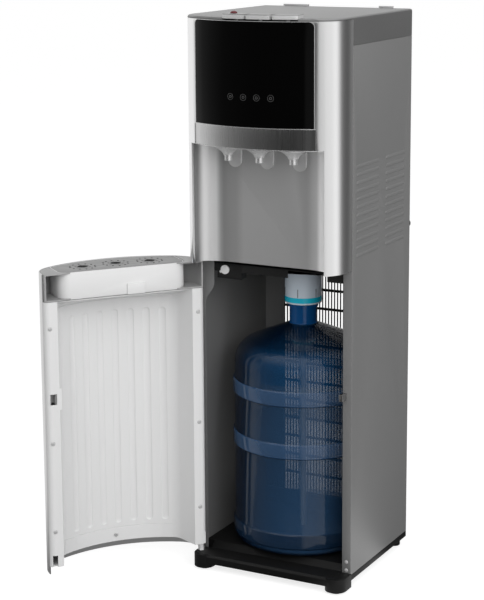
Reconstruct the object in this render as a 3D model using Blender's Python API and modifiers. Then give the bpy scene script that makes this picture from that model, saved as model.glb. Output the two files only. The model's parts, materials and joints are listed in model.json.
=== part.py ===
"""Bottom-loading water dispenser: a steel cabinet with a bowed front, three taps in a recess, a hinged
door that carries the drip tray, and a water bottle standing in the bay behind the door.
Metres, +Z up, front towards -Y, origin on the floor under the middle of the cabinet's side panels."""

import math

import bmesh
import bpy
from mathutils import Matrix, Vector

# Clearances
GAP = 0.0003
OVERRUN = 0.010
RUNNING_CLEARANCE = 0.0006

# Cabinet
CABINET_WIDTH = 0.310
CABINET_DEPTH = 0.264
CABINET_HEIGHT = 1.050
SHEET = 0.0012
COVER_HEIGHT = 0.050
COVER_PLATE = 0.0047
COVER_WALL = 0.0020
RIGHT_FLANGE = 0.017
LEFT_FLANGE = 0.010
HINGE_FLANGE = 0.0285
HINGE_FLANGE_DROP = 0.088
HINGE_FLANGE_BLEND = 0.038
REAR_FLANGE = 0.042
LOUVRE_COUNT = 12
LOUVRE_PITCH = 0.0147
LOUVRE_HEIGHT = 0.0035
LOUVRE_FRONT_MARGIN = 0.019
LOUVRE_REAR_MARGIN = 0.0305
LOUVRE_BRIDGE = 0.031
LOUVRE_RISE = 0.020

# Base
SKIRT_BOTTOM = 0.014
SKIRT_HEIGHT = 0.0112
BASE_FRONT = 0.043
BASE_LIP = 0.012
BASE_FLOOR = 0.016
BASE_RAMP = 0.012
PLATFORM_HEIGHT = 0.040
BASE_ROOF = 0.004
SILL_HEIGHT = 0.033
SILL_THICKNESS = 0.0055
BASE_CORNER = 0.024
BASE_WALL = 0.006
LOBE_WIDTH = 0.040
LOBE_LENGTH = 0.044
LOBE_PROUD = 0.003
LOBE_RADIUS = 0.020
LOBE_INNER_SHARE = 0.9
LOBE_HEIGHT = 0.0295
LOBE_BOTTOM = 0.004
FOOT_RADIUS = 0.012
CENTRE_PAD_RADIUS = 0.022

# Bowed front
BOW_REACH = 0.106
BOW_SAG = 0.052
BOW_CORNER = 0.058
FASCIA_HEIGHT = 0.450
FASCIA_WALL = 0.006
FASCIA_FLOOR = 0.0025
PANEL_MARGIN = 0.0006
RECESS_HEIGHT = 0.222
RECESS_FROM_SIDE = 0.023
RECESS_CORNER = 0.055
RECESS_CORNER_SHARE = 0.9
RECESS_SHEET = 0.0015
RECESS_FORWARD = 0.026
STRIP_HEIGHT = 0.038
STRIP_FROM_SIDE = 0.035
STRIP_THICKNESS = 0.0029
PANEL_FROM_SIDE = 0.038
PANEL_CORNER = 0.009

# Taps
TAP_PITCH = 0.065
TAP_SET_BACK = 0.048
TAP_RADIUS = 0.011
TAP_HEIGHT = 0.030
SPIGOT_RADIUS = 0.0065
NOZZLE_TOP_RADIUS = 0.0235
NOZZLE_NECK_RADIUS = 0.0095
NOZZLE_CONE = 0.0175
NOZZLE_RIM = 0.0035
NOZZLE_TIP_RADIUS = 0.00725
NOZZLE_TIP = 0.0105
NOZZLE_BORE = 0.004
GUARD_WIDTH = 0.028
GUARD_HEIGHT = 0.0440
GUARD_THICKNESS = 0.0033

# Keys on the top front edge
KEY_LEFT = 0.0490
KEY_WIDTH = 0.0432
KEY_PITCH = 0.0482
KEY_DEPTH = 0.024
KEY_HEIGHT = 0.0085
KEY_TRAVEL = 0.0025
KEY_STEM_RADIUS = 0.003
KEY_STEM = 0.016
SPRING_RADIUS = 0.0048
SPRING_WIRE = 0.0006
SPRING_TURNS = 4
LOCK_RADIUS = 0.0066
LOCK_HEIGHT = 0.0045
LOCK_FROM_LEFT = 0.0145
CARRIER_FLOOR = 0.0025

# Bottle bay
DECK_DROP = 0.026
DECK_HEIGHT = 0.0156
DECK_SHEET = 0.0016
DECK_LIP = 0.0016
LIP_NOTCH_FROM_SIDE = 0.050
LIP_NOTCH_WIDTH = 0.079
HANGER_WIDTH = 0.050
HANGER_HEIGHT = 0.0265
HANGER_DEPTH = 0.022
HANGER_LEFT = 0.0332
HANGER_PLUG_LEFT = 0.0167
HANGER_PLUG_RADIUS = 0.0085
HANGER_PLUG_DEPTH = 0.007
HANGER_NUB = 0.0025

# Bottle
BOTTLE_FROM_SIDE = 0.021
BOTTLE_FROM_REAR = 0.011
BOTTLE_HEADROOM = 0.0047
BOTTLE_WALL = 0.0012
BOTTLE_FOOT_RADIUS = 0.018
BOTTLE_FOOT_SHARES = ((0.17, 0.33), (1.0, 0.0), (2.0, 0.0))
BOTTLE_SHOULDER = 0.077
BOTTLE_ROUND = 0.046
BOTTLE_ROUND_TURN = 67.4
BOTTLE_NECK = 0.0475
BOTTLE_NECK_RADIUS = 0.026
BOTTLE_NECK_FLARE = 0.006
BOTTLE_GROOVE = 0.003
BOTTLE_BAND_SHARE = 0.083
BOTTLE_BAND_PLACE_SHARES = (0.833, 0.547, 0.0476)
BOTTLE_RISE = 0.006
CAP_RADIUS = 0.035
CAP_HEIGHT = 0.0565
CAP_WALL = 0.003
CAP_ROOF = 0.006
CAP_RISE = 0.012
DIP_TUBE_RADIUS = 0.006
DIP_TUBE_BORE = 0.004
DIP_TUBE_FOOT = 0.012
DIP_TUBE_TOP = 0.009

# Door
DOOR_OPEN = 128.58
DOOR_GAP = 0.003
DOOR_BOTTOM = 0.032
DOOR_SIDE_GAP = 0.0005
DOOR_SKIN = 0.002
HINGE_FROM_SIDE = 0.006
HINGE_FROM_PANEL = 0.0205
HINGE_PIN_RADIUS = 0.002
HINGE_PIN_DEPTH = 0.012
HINGE_BOSS = 0.0045
HINGE_PLATE = 0.0020
HINGE_PLATE_WIDTH = 0.017
LINER_THICKNESS = 0.0022
LINER_RISE = 0.016
LINER_FLANGE = 0.0245
LINER_EDGE_RADIUS = 0.010
LINER_CORNER = 0.025
LINER_INSET = 0.020
LINER_SLOPE = 0.0195
LINER_LEAN = 15
LINER_BAND = 0.025
LINER_BAND_PROUD = 0.002
LINER_BAND_FROM_SIDE = 0.070
SLOT_FROM_SIDE = 0.0138
SLOT_WIDTH = 0.0092
SLOT_HEIGHT = 0.022
CATCH_HEIGHT = 0.020
CATCH_WIDTH = 0.013
CATCH_DEPTH = 0.017
CATCH_DROP = 0.2335
CATCH_FROM_SIDE = 0.0135
CATCH_PAD = 0.009
CATCH_WALL = 0.002
STRIKER_WIDTH = 0.007
STRIKER_HEIGHT = 0.013

# Drip tray in the top of the door
TRAY_HEIGHT = 0.0497
TRAY_RIM = 0.0006
TRAY_WALL = 0.002
TRAY_FROM_SIDE = 0.033
TRAY_END_RADIUS = 0.020
TRAY_INSET = 0.0031
TRAY_SET_BACK = 0.0065
TRAY_LEDGE = 0.003
CAP_PLATE = 0.0025
CAP_SIDE_WALL = 0.003
CAP_SET_BACK = 0.0015
TAB_WIDTH = 0.034
TAB_CENTRE = 0.022
TAB_HEIGHT = 0.020
TAB_DEPTH = 0.0035
GRILLE_THICKNESS = 0.003
GRILLE_HOLE = 0.006
GRILLE_RING = 0.013
GRILLE_RING_COUNT = 6
GRILLE_RING_HOLE = 0.0022

# Inside the upper cabinet
SHELF_HEIGHT = 0.232
SHELF_THICKNESS = 0.0015
COLD_TANK_INSIDE = 0.012
COLD_TANK_OUTSIDE = 0.027
COLD_TANK_HEADROOM = 0.063
HOT_TANK_INSIDE = 0.022
HOT_TANK_OUTSIDE = 0.037
HOT_TANK_HEADROOM = 0.088
TANK_ROUND = 0.012
TANK_FROM_REAR = 0.087
PIPE_RADIUS = 0.004
PIPE_RISE = 0.012
PIPE_LANE = 0.012
PIPE_SPREAD = 0.010
COMPRESSOR_RADIUS = 0.056
COMPRESSOR_HEIGHT = 0.140
COMPRESSOR_FOOT = 0.003
COMPRESSOR_ROUND = 0.0187
COMPRESSOR_FROM_SIDE = 0.080
PUMP_RADIUS = 0.024
PUMP_LENGTH = 0.070
PUMP_SEAT = 0.0467
PUMP_FOOT = 0.006
BOARD_THICKNESS = 0.0016
BOARD_FROM_SIDE = 0.065
BOARD_HEADROOM = 0.065

# Rear
BACK_THICKNESS = 0.0012
BACK_MARGIN = 0.005
REAR_TAB_FOLD = 0.006
REAR_TAB_HEIGHT = 0.0035
REAR_TAB_LEFT = 0.085
REAR_TAB_LEFT_WIDTH = 0.052
REAR_TAB_RIGHT = 0.103
REAR_TAB_RIGHT_WIDTH = 0.0275
CONDENSER_LOW = 0.108
CONDENSER_DROP = 0.2105
CONDENSER_RUNS = 20
CONDENSER_FROM_SIDE = 0.043
CONDENSER_TUBE = 0.0024
CONDENSER_SHEET = 0.001
CONDENSER_WIRE_PITCH = 0.016
CONDENSER_WIRE = 0.0014
CONDENSER_HOLD = 13
WIRE_OVERHANG = 0.014
WIRE_FOOT = 0.038
FOOT_WIDTH = 0.012
FOOT_HEIGHT = 0.008
SWITCH_WIDTH = 0.014
SWITCH_HEIGHT = 0.021
SWITCH_WALL = 0.0015
SWITCH_DEPTH = 0.016
SWITCH_FLANGE = 0.0016
SWITCH_SINK_SHARE = 0.33
SWITCH_FROM_TOP = 0.085
SWITCH_FROM_SIDE = 0.055
SWITCH_PITCH = 0.024
ROCKER_TILT = 8.0
INLET_WIDTH = 0.027
INLET_HEIGHT = 0.020
INLET_DEPTH = 0.018
INLET_WALL = 0.002
INLET_FROM_SIDE = 0.060
DRAIN_RADIUS = 0.006
DRAIN_BORE = 0.004
DRAIN_FLANGE_RADIUS = 0.0085
DRAIN_FLANGE = 0.002
DRAIN_STUB = 0.012
DRAIN_INSIDE = 0.014
DRAIN_FROM_SIDE = 0.0125
DRAIN_HEIGHT = 0.040
DRAIN_PLUG_WALL = 0.0018

# Sides and steps of the round pieces
ROUND = 16
FINE = 28
PLUG_SIDES = 20
SMALL_SIDES = 12
HOLE_SIDES = 6
SPRING_SIDES = 7
BOW_STEPS = 14
STRIP_STEPS = 12
CORNER_STEPS = 8
SHOULDER_STEPS = 5
FILLET_STEPS = 6
SMALL_STEPS = 4
SHARPEST_TURN_SHARE = 0.5

# Merging and shading
WELD = 1e-6
SPIN_WELD = 1e-5
SHARP = math.radians(35)

# Worked-out places
HALF_WIDTH = CABINET_WIDTH / 2
HALF_DEPTH = CABINET_DEPTH / 2
FASCIA_BOTTOM = CABINET_HEIGHT - FASCIA_HEIGHT
PANEL_BOTTOM = SKIRT_BOTTOM + SKIRT_HEIGHT + GAP
PANEL_TOP = CABINET_HEIGHT - COVER_HEIGHT - GAP
FASCIA_TOP = CABINET_HEIGHT - COVER_PLATE - GAP
RECESS_TOP = FASCIA_BOTTOM + RECESS_HEIGHT
STRIP_TOP = RECESS_TOP + STRIP_HEIGHT
BOW_FRONT = -(HALF_DEPTH + BOW_REACH)
BOW_RADIUS = (HALF_WIDTH ** 2 + BOW_SAG ** 2) / (2 * BOW_SAG)
BOW_CENTRE = BOW_FRONT + BOW_RADIUS
RECESS_HALF = HALF_WIDTH - RECESS_FROM_SIDE
STRIP_HALF = HALF_WIDTH - STRIP_FROM_SIDE
PANEL_HALF = HALF_WIDTH - PANEL_FROM_SIDE
TRAY_HALF = HALF_WIDTH - TRAY_FROM_SIDE
LINER_BAND_HALF = HALF_WIDTH - LINER_BAND_FROM_SIDE
BOARD_HALF = HALF_WIDTH - BOARD_FROM_SIDE
DOOR_TOP = FASCIA_BOTTOM - HINGE_PLATE - 3 * GAP
DOOR_INNER = -(HALF_DEPTH + DOOR_GAP)
HINGE_X = -(HALF_WIDTH - HINGE_FROM_SIDE)
HINGE_Y = -(HALF_DEPTH + HINGE_FROM_PANEL)
DECK_BOTTOM = FASCIA_BOTTOM - DECK_DROP
DECK_TOP = DECK_BOTTOM + DECK_HEIGHT
SHELF_TOP = FASCIA_BOTTOM + SHELF_HEIGHT
BACK_FACE = HALF_DEPTH + GAP + BACK_THICKNESS
TAP_Y = BOW_FRONT + TAP_SET_BACK
LINER_BOTTOM = DOOR_BOTTOM + LINER_RISE
LINER_TOP = DOOR_TOP - TRAY_RIM - TRAY_HEIGHT - GAP
TRAY_BOTTOM = LINER_TOP + GAP
CATCH_X = HALF_WIDTH - CATCH_FROM_SIDE
CATCH_MIDDLE = FASCIA_BOTTOM - CATCH_DROP
SLOT_LEFT = HALF_WIDTH - SLOT_FROM_SIDE
HINGE_FLANGE_LOW = FASCIA_BOTTOM - HINGE_FLANGE_DROP
LOUVRE_LOW = FASCIA_BOTTOM + LOUVRE_RISE
BOTTLE_RADIUS = HALF_WIDTH - BOTTLE_FROM_SIDE
BOTTLE_Y = HALF_DEPTH - BOTTLE_FROM_REAR - BOTTLE_RADIUS
CAP_REACH = CAP_HEIGHT - CAP_RISE + DIP_TUBE_TOP + BOTTLE_HEADROOM
BOTTLE_BODY = DECK_BOTTOM - PLATFORM_HEIGHT - GAP - BOTTLE_SHOULDER - BOTTLE_NECK - CAP_REACH
COLD_TANK_RADIUS = (HALF_WIDTH - COLD_TANK_INSIDE - COLD_TANK_OUTSIDE) / 2
HOT_TANK_RADIUS = (HALF_WIDTH - HOT_TANK_INSIDE - HOT_TANK_OUTSIDE) / 2
TANK_Y = HALF_DEPTH - TANK_FROM_REAR
COLD_TANK_HEIGHT = FASCIA_TOP - SHELF_TOP - COLD_TANK_HEADROOM
HOT_TANK_HEIGHT = FASCIA_TOP - SHELF_TOP - HOT_TANK_HEADROOM
BOARD_HEIGHT = FASCIA_TOP - STRIP_TOP - BOARD_HEADROOM
COMPRESSOR_X = HALF_WIDTH - COMPRESSOR_FROM_SIDE
CONDENSER_HALF = HALF_WIDTH - CONDENSER_FROM_SIDE
CONDENSER_PITCH = (CABINET_HEIGHT - CONDENSER_DROP - CONDENSER_LOW) / (CONDENSER_RUNS - 1)
LINER_EDGE_X = HALF_WIDTH - DOOR_SIDE_GAP - LINER_FLANGE
CORNER_X = HALF_WIDTH - BOW_CORNER
CORNER_SHARE = CORNER_X / (BOW_RADIUS - BOW_CORNER)
CORNER_Y = BOW_CENTRE - math.sqrt((BOW_RADIUS - BOW_CORNER) ** 2 - CORNER_X ** 2)
PANEL_EDGE = FASCIA_TOP - PANEL_MARGIN
KEY_LOW = FASCIA_TOP + KEY_TRAVEL + 2 * GAP
KEY_TOP = KEY_LOW + KEY_HEIGHT
KEY_SHELF = KEY_LOW - KEY_STEM - KEY_TRAVEL - 2 * GAP
KEYS_LEFT = -KEY_LEFT - RUNNING_CLEARANCE
KEYS_RIGHT = -KEY_LEFT + 2 * KEY_PITCH + KEY_WIDTH + RUNNING_CLEARANCE

COLLECTIONS = {}
PIVOTS = {}


def clear_scene():
    for item in list(bpy.data.objects):
        bpy.data.objects.remove(item, do_unlink=True)
    for name in ("water_dispenser", "cutters"):
        made = bpy.data.collections.new(name)
        bpy.context.scene.collection.children.link(made)
        COLLECTIONS[name] = made


def finish_material(name, colour, roughness, metallic=0.0, alpha=1.0):
    made = bpy.data.materials.new(name)
    made.use_nodes = True
    shader = made.node_tree.nodes["Principled BSDF"]
    shader.inputs["Base Color"].default_value = (*colour, 1.0)
    shader.inputs["Roughness"].default_value = roughness
    shader.inputs["Metallic"].default_value = metallic
    shader.inputs["Alpha"].default_value = alpha
    made.diffuse_color = (*colour, alpha)
    return made


def pivot(name, place, turn=0.0, parent=None):
    """An empty on a joint's axis. place is where it stands with the door closed."""
    made = bpy.data.objects.new(name, None)
    COLLECTIONS["water_dispenser"].objects.link(made)
    origin = Vector(place)
    if parent is not None:
        made.parent = PIVOTS[parent][0]
        made.location = origin - PIVOTS[parent][1]
    else:
        made.location = origin
    made.rotation_euler = (0.0, 0.0, math.radians(turn))
    PIVOTS[name] = (made, origin)
    return made


def ride(item, on):
    """Hangs the piece, modelled where it is with the door closed, from a pivot."""
    if on is not None:
        empty, origin = PIVOTS[on]
        item.parent = empty
        item.location = item.location - origin
    return item


def piece(name, mesh, material=None, on=None):
    made = bpy.data.objects.new(name, mesh)
    COLLECTIONS["water_dispenser"].objects.link(made)
    smooth(mesh)
    if material is not None:
        made.data.materials.clear()
        made.data.materials.append(material)
    return ride(made, on)


def tool(mesh, on=None, name="cutter"):
    made = bpy.data.objects.new(name, mesh)
    COLLECTIONS["cutters"].objects.link(made)
    made.hide_render = True
    made.display_type = "WIRE"
    return ride(made, on)


def combine(item, other, operation):
    step = item.modifiers.new(operation.lower(), "BOOLEAN")
    step.operation = operation
    step.solver = "EXACT"
    step.object = other
    return item


def smooth(mesh):
    mesh.shade_smooth()
    mesh.set_sharp_from_angle(angle=SHARP)
    return mesh


def cut(item, mesh, on=None):
    return combine(item, tool(mesh, on, item.name + "_cutter"), "DIFFERENCE")


def join(item, mesh, on=None):
    return combine(item, tool(mesh, on, item.name + "_adds"), "UNION")


def keep(item, mesh, on=None):
    return combine(item, tool(mesh, on, item.name + "_keeps"), "INTERSECT")


AXES = {
    "Z": Matrix.Identity(4),
    "Y": Matrix(((1, 0, 0, 0), (0, 0, -1, 0), (0, 1, 0, 0), (0, 0, 0, 1))),
    "X": Matrix(((0, 0, 1, 0), (1, 0, 0, 0), (0, 1, 0, 0), (0, 0, 0, 1))),
}
ALONG = {"X": Vector((1, 0, 0)), "Y": Vector((0, 1, 0)), "Z": Vector((0, 0, 1))}


def prism(outline, low, high, axis="Z"):
    """A flat outline drawn out from low to high. It holds XY points for Z, XZ for Y and YZ for X."""
    curve = bpy.data.curves.new("outline", "CURVE")
    curve.dimensions = "2D"
    curve.fill_mode = "BOTH"
    curve.extrude = (high - low) / 2
    spline = curve.splines.new("POLY")
    spline.points.add(len(outline) - 1)
    for point, (u, v) in zip(spline.points, outline):
        point.co = (u, v, 0.0, 1.0)
    spline.use_cyclic_u = True
    return welded(curve, Matrix.Translation(ALONG[axis] * (low + high) / 2) @ AXES[axis])


def welded(curve, matrix):
    """The curve as a closed mesh, with its loose caps joined to its sides."""
    holder = bpy.data.objects.new("holder", curve)
    bpy.context.scene.collection.objects.link(holder)
    bpy.context.view_layer.update()
    graph = bpy.context.evaluated_depsgraph_get()
    mesh = bpy.data.meshes.new_from_object(holder.evaluated_get(graph))
    bpy.data.objects.remove(holder, do_unlink=True)
    mesh.transform(matrix)
    form = bmesh.new()
    form.from_mesh(mesh)
    bmesh.ops.remove_doubles(form, verts=form.verts, dist=WELD)
    bmesh.ops.recalc_face_normals(form, faces=form.faces)
    form.to_mesh(mesh)
    form.free()
    return mesh


def box(low, high):
    form = bmesh.new()
    bmesh.ops.create_cube(form, size=1.0)
    low, high = Vector(low), Vector(high)
    size = high - low
    middle = (low + high) / 2
    place = Matrix.Translation(middle) @ Matrix.Diagonal((*size, 1.0))
    bmesh.ops.transform(form, matrix=place, verts=form.verts)
    return as_mesh(form)


def boxes(pairs):
    form = bmesh.new()
    for low, high in pairs:
        low, high = Vector(low), Vector(high)
        size = high - low
        middle = (low + high) / 2
        place = Matrix.Translation(middle) @ Matrix.Diagonal((*size, 1.0))
        bmesh.ops.create_cube(form, size=1.0, matrix=place)
    return as_mesh(form)


def as_mesh(form):
    mesh = bpy.data.meshes.new("shape")
    form.to_mesh(mesh)
    form.free()
    return mesh


def rod(centre, radius, low, high, axis="Z", sides=ROUND, top_radius=None):
    """A cylinder or cone from low to high along the axis, through centre."""
    form = bmesh.new()
    top = radius if top_radius is None else top_radius
    bmesh.ops.create_cone(form, cap_ends=True, segments=sides, radius1=radius, radius2=top, depth=high - low)
    turn = {"Z": Matrix.Identity(4), "Y": Matrix.Rotation(math.radians(-90), 4, "X"),
            "X": Matrix.Rotation(math.radians(90), 4, "Y")}[axis]
    middle = Vector(centre)
    middle["XYZ".index(axis)] = (low + high) / 2
    bmesh.ops.transform(form, matrix=Matrix.Translation(middle) @ turn, verts=form.verts)
    return as_mesh(form)


def rods(centres, radius, low, high, axis="Z", sides=ROUND):
    form = bmesh.new()
    for centre in centres:
        part = rod(centre, radius, low, high, axis, sides)
        form.from_mesh(part)
    return as_mesh(form)


def turned(name, profile, place, material, sides=ROUND, on=None, axis="Z", closed=False):
    """A profile of (radius, height) points, top to bottom on the outside, spun round its axis."""
    mesh = bpy.data.meshes.new(name)
    count = len(profile)
    edges = [(i, i + 1) for i in range(count - 1)]
    if closed:
        edges.append((count - 1, 0))
    mesh.from_pydata([(r, 0.0, z) for r, z in profile], edges, [])
    made = bpy.data.objects.new(name, mesh)
    COLLECTIONS["water_dispenser"].objects.link(made)
    made.data.materials.append(material)
    made.location = place
    if axis == "Y":
        made.rotation_euler = (math.radians(-90), 0.0, 0.0)
    spin = made.modifiers.new("spin", "SCREW")
    spin.steps = sides
    spin.render_steps = sides
    spin.use_merge_vertices = True
    spin.merge_threshold = SPIN_WELD
    spin.use_smooth_shade = True
    return ride(made, on)


def tube(name, points, radius, material, resolution=2, on=None):
    curve = bpy.data.curves.new(name, "CURVE")
    curve.dimensions = "3D"
    curve.bevel_depth = radius
    curve.bevel_resolution = resolution
    curve.use_fill_caps = True
    spline = curve.splines.new("POLY")
    spline.points.add(len(points) - 1)
    for point, place in zip(spline.points, points):
        point.co = (*place, 1.0)
    return piece(name, welded(curve, Matrix.Identity(4)), material, on)


def arc(centre, radius, start, end, steps):
    """Points from angle start to angle end, in degrees from +X."""
    turns = [math.radians(start + (end - start) * i / steps) for i in range(steps + 1)]
    return [(centre[0] + radius * math.cos(t), centre[1] + radius * math.sin(t)) for t in turns]


def wall(path, thickness):
    """The outline of a sheet that follows the path, thickened to the path's left."""
    moved = []
    for i, point in enumerate(path):
        sides = []
        for a, b in ((i - 1, i), (i, i + 1)):
            if a >= 0 and b < len(path):
                along = Vector(path[b]) - Vector(path[a])
                sides.append(Vector((-along.y, along.x)).normalized())
        normal = sides[0] if len(sides) == 1 else (sides[0] + sides[1]).normalized()
        reach = thickness / max(normal.dot(sides[0]), SHARPEST_TURN_SHARE)
        moved.append(tuple(Vector(point) + normal * reach))
    return list(path) + moved[::-1]


def bow_y(x, inset=0.0):
    """The bowed front's Y at x, on the surface that lies inset behind it."""
    if abs(x) <= (BOW_RADIUS - inset) * CORNER_SHARE:
        return BOW_CENTRE - math.sqrt((BOW_RADIUS - inset) ** 2 - x * x)
    return CORNER_Y - math.sqrt((BOW_CORNER - inset) ** 2 - (abs(x) - CORNER_X) ** 2)


def front_path(inset, back):
    """The front outline, set in by inset, from the left side round the bow to the right side."""
    turn = math.degrees(math.asin(CORNER_SHARE))
    left = arc((-CORNER_X, CORNER_Y), BOW_CORNER - inset, 180, 270 - turn, CORNER_STEPS)
    bow = arc((0.0, BOW_CENTRE), BOW_RADIUS - inset, 270 - turn, 270 + turn, BOW_STEPS)
    right = arc((CORNER_X, CORNER_Y), BOW_CORNER - inset, 270 + turn, 360, CORNER_STEPS)
    side = HALF_WIDTH - inset
    return [(-side, back)] + left + bow[1:-1] + right + [(side, back)]


def bow_band(left, right, outer, inner, steps=STRIP_STEPS):
    """The outline of a strip that follows the bow between two depths."""
    xs = [left + (right - left) * i / steps for i in range(steps + 1)]
    return [(x, bow_y(x, outer)) for x in xs] + [(x, bow_y(x, inner)) for x in reversed(xs)]


def materials():
    return {
        "silver": finish_material("silver_paint", (0.55, 0.55, 0.56), 0.32, 0.9),
        "steel": finish_material("steel_side", (0.16, 0.16, 0.165), 0.42, 0.6),
        "cover": finish_material("cover_grey", (0.33, 0.33, 0.34), 0.45, 0.2),
        "brushed": finish_material("brushed_strip", (0.42, 0.42, 0.43), 0.3, 1.0),
        "recess": finish_material("recess_grey", (0.27, 0.27, 0.28), 0.38, 0.5),
        "black": finish_material("black_gloss", (0.004, 0.004, 0.004), 0.08),
        "base": finish_material("base_black", (0.012, 0.012, 0.012), 0.45),
        "rubber": finish_material("rubber", (0.015, 0.015, 0.015), 0.85),
        "liner": finish_material("liner_white", (0.66, 0.66, 0.66), 0.45),
        "tap": finish_material("tap_grey", (0.28, 0.28, 0.29), 0.35, 0.3),
        "tip": finish_material("tip_chrome", (0.72, 0.72, 0.73), 0.18, 1.0),
        "red": finish_material("lock_red", (0.22, 0.004, 0.018), 0.3),
        "grille": finish_material("grille_grey", (0.34, 0.34, 0.35), 0.4),
        "bottle": finish_material("bottle_blue", (0.10, 0.30, 0.55), 0.08, 0.0, 0.35),
        "cap": finish_material("cap_clear", (0.50, 0.62, 0.75), 0.15, 0.0, 0.45),
        "tube": finish_material("tube_clear", (0.72, 0.76, 0.80), 0.3),
        "tank": finish_material("tank_steel", (0.5, 0.5, 0.5), 0.3, 1.0),
        "foam": finish_material("foam_white", (0.75, 0.75, 0.74), 0.8),
        "motor": finish_material("motor_black", (0.02, 0.02, 0.02), 0.5),
        "board": finish_material("board_green", (0.02, 0.12, 0.05), 0.5),
        "galvanised": finish_material("galvanised", (0.30, 0.30, 0.31), 0.45, 0.8),
        "wire": finish_material("condenser_black", (0.02, 0.02, 0.02), 0.4),
    }


def lobe_outline(side):
    """The rounded block at a front corner of the base, on the side given as -1 or 1."""
    outer = HALF_WIDTH + LOBE_PROUD
    front = -(HALF_DEPTH + BASE_FRONT + LOBE_PROUD)
    inner = outer - LOBE_WIDTH
    back = front + LOBE_LENGTH
    r = LOBE_RADIUS
    small = r * LOBE_INNER_SHARE
    points = [(outer, back)] + arc((outer - r, front + r), r, 0, -90, FILLET_STEPS)
    points += arc((inner + small, front + small), small, -90, -180, SMALL_STEPS) + [(inner, back)]
    return [(x * side, y) for x, y in points]


def foot_places():
    inward = FOOT_RADIUS + BASE_WALL
    front = -(HALF_DEPTH + BASE_FRONT + LOBE_PROUD - LOBE_RADIUS)
    side = HALF_WIDTH + LOBE_PROUD - LOBE_RADIUS
    return {
        "rubber_foot_front_left": (-side, front, LOBE_BOTTOM),
        "rubber_foot_front_right": (side, front, LOBE_BOTTOM),
        "rubber_foot_rear_left": (-(HALF_WIDTH - inward), HALF_DEPTH - inward, SKIRT_BOTTOM),
        "rubber_foot_rear_right": (HALF_WIDTH - inward, HALF_DEPTH - inward, SKIRT_BOTTOM),
    }


def make_base(mats):
    inside = HALF_WIDTH - SHEET - GAP
    rear = HALF_DEPTH - SHEET - GAP
    front = HALF_DEPTH + BASE_FRONT
    between = HALF_WIDTH - RIGHT_FLANGE - 2 * GAP
    top = SKIRT_BOTTOM + BASE_FLOOR
    soft = BASE_FLOOR - BASE_LIP
    side_view = [
        (-front, SKIRT_BOTTOM), (-front, SKIRT_BOTTOM + BASE_LIP), (-front + soft, top), (-HALF_DEPTH, top),
        (-HALF_DEPTH + BASE_RAMP, PLATFORM_HEIGHT), (rear, PLATFORM_HEIGHT), (rear, SKIRT_BOTTOM),
    ]
    base = piece("base_tray", prism(side_view, -between, between, "X"), mats["base"])
    skirt_top = SKIRT_BOTTOM + SKIRT_HEIGHT
    join(base, box((-HALF_WIDTH, -HALF_DEPTH, SKIRT_BOTTOM), (HALF_WIDTH, HALF_DEPTH, skirt_top)))
    step = -HALF_DEPTH + BASE_RAMP
    join(base, box((-inside, step, SKIRT_BOTTOM + SKIRT_HEIGHT / 2), (inside, rear, PLATFORM_HEIGHT)))
    sill_low = PLATFORM_HEIGHT - BASE_ROOF / 2
    join(base, box((-inside, rear - SILL_THICKNESS, sill_low), (inside, rear, PLATFORM_HEIGHT + SILL_HEIGHT)))
    for side in (-1, 1):
        join(base, prism(lobe_outline(side), LOBE_BOTTOM, LOBE_HEIGHT))
    roof = PLATFORM_HEIGHT - BASE_ROOF
    pockets = []
    half_x = HALF_WIDTH - BASE_WALL
    half_y = HALF_DEPTH - BASE_WALL
    ends_x = BASE_CORNER / 2
    for low_x, high_x in ((-half_x + BASE_CORNER, -ends_x), (ends_x, half_x - BASE_CORNER)):
        for low_y, high_y in ((step, -ends_x), (ends_x, half_y)):
            pockets.append(((low_x, low_y, 0.0), (high_x, high_y, roof)))
    cut(base, boxes(pockets))
    join(base, rod((0.0, 0.0, 0.0), CENTRE_PAD_RADIUS, 0.0, SKIRT_BOTTOM + SKIRT_HEIGHT / 2))
    pin_floor = LOBE_HEIGHT - HINGE_PIN_DEPTH
    hole = HINGE_PIN_RADIUS + GAP
    cut(base, rod((HINGE_X, HINGE_Y, 0.0), hole, pin_floor - GAP, LOBE_HEIGHT + OVERRUN, sides=ROUND))
    for name, (x, y, top) in foot_places().items():
        piece(name, rod((x, y, 0.0), FOOT_RADIUS, 0.0, top - GAP), mats["rubber"])
    pin_top = LOBE_HEIGHT + 2 * HINGE_PIN_DEPTH
    pin = rod((HINGE_X, HINGE_Y, 0.0), HINGE_PIN_RADIUS, pin_floor, pin_top, sides=ROUND)
    piece("hinge_pin_lower", pin, mats["tip"])


def louvre_slots(side):
    """Two columns of slots in a side panel."""
    face = HALF_WIDTH * side
    near = LOUVRE_BRIDGE / 2
    found = []
    columns = ((-HALF_DEPTH + LOUVRE_FRONT_MARGIN, -near), (near, HALF_DEPTH - LOUVRE_REAR_MARGIN))
    for low_y, high_y in columns:
        for row in range(LOUVRE_COUNT):
            z = LOUVRE_LOW + row * LOUVRE_PITCH
            found.append(((face - 2 * SHEET, low_y, z), (face + 2 * SHEET, high_y, z + LOUVRE_HEIGHT)))
    return found


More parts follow.
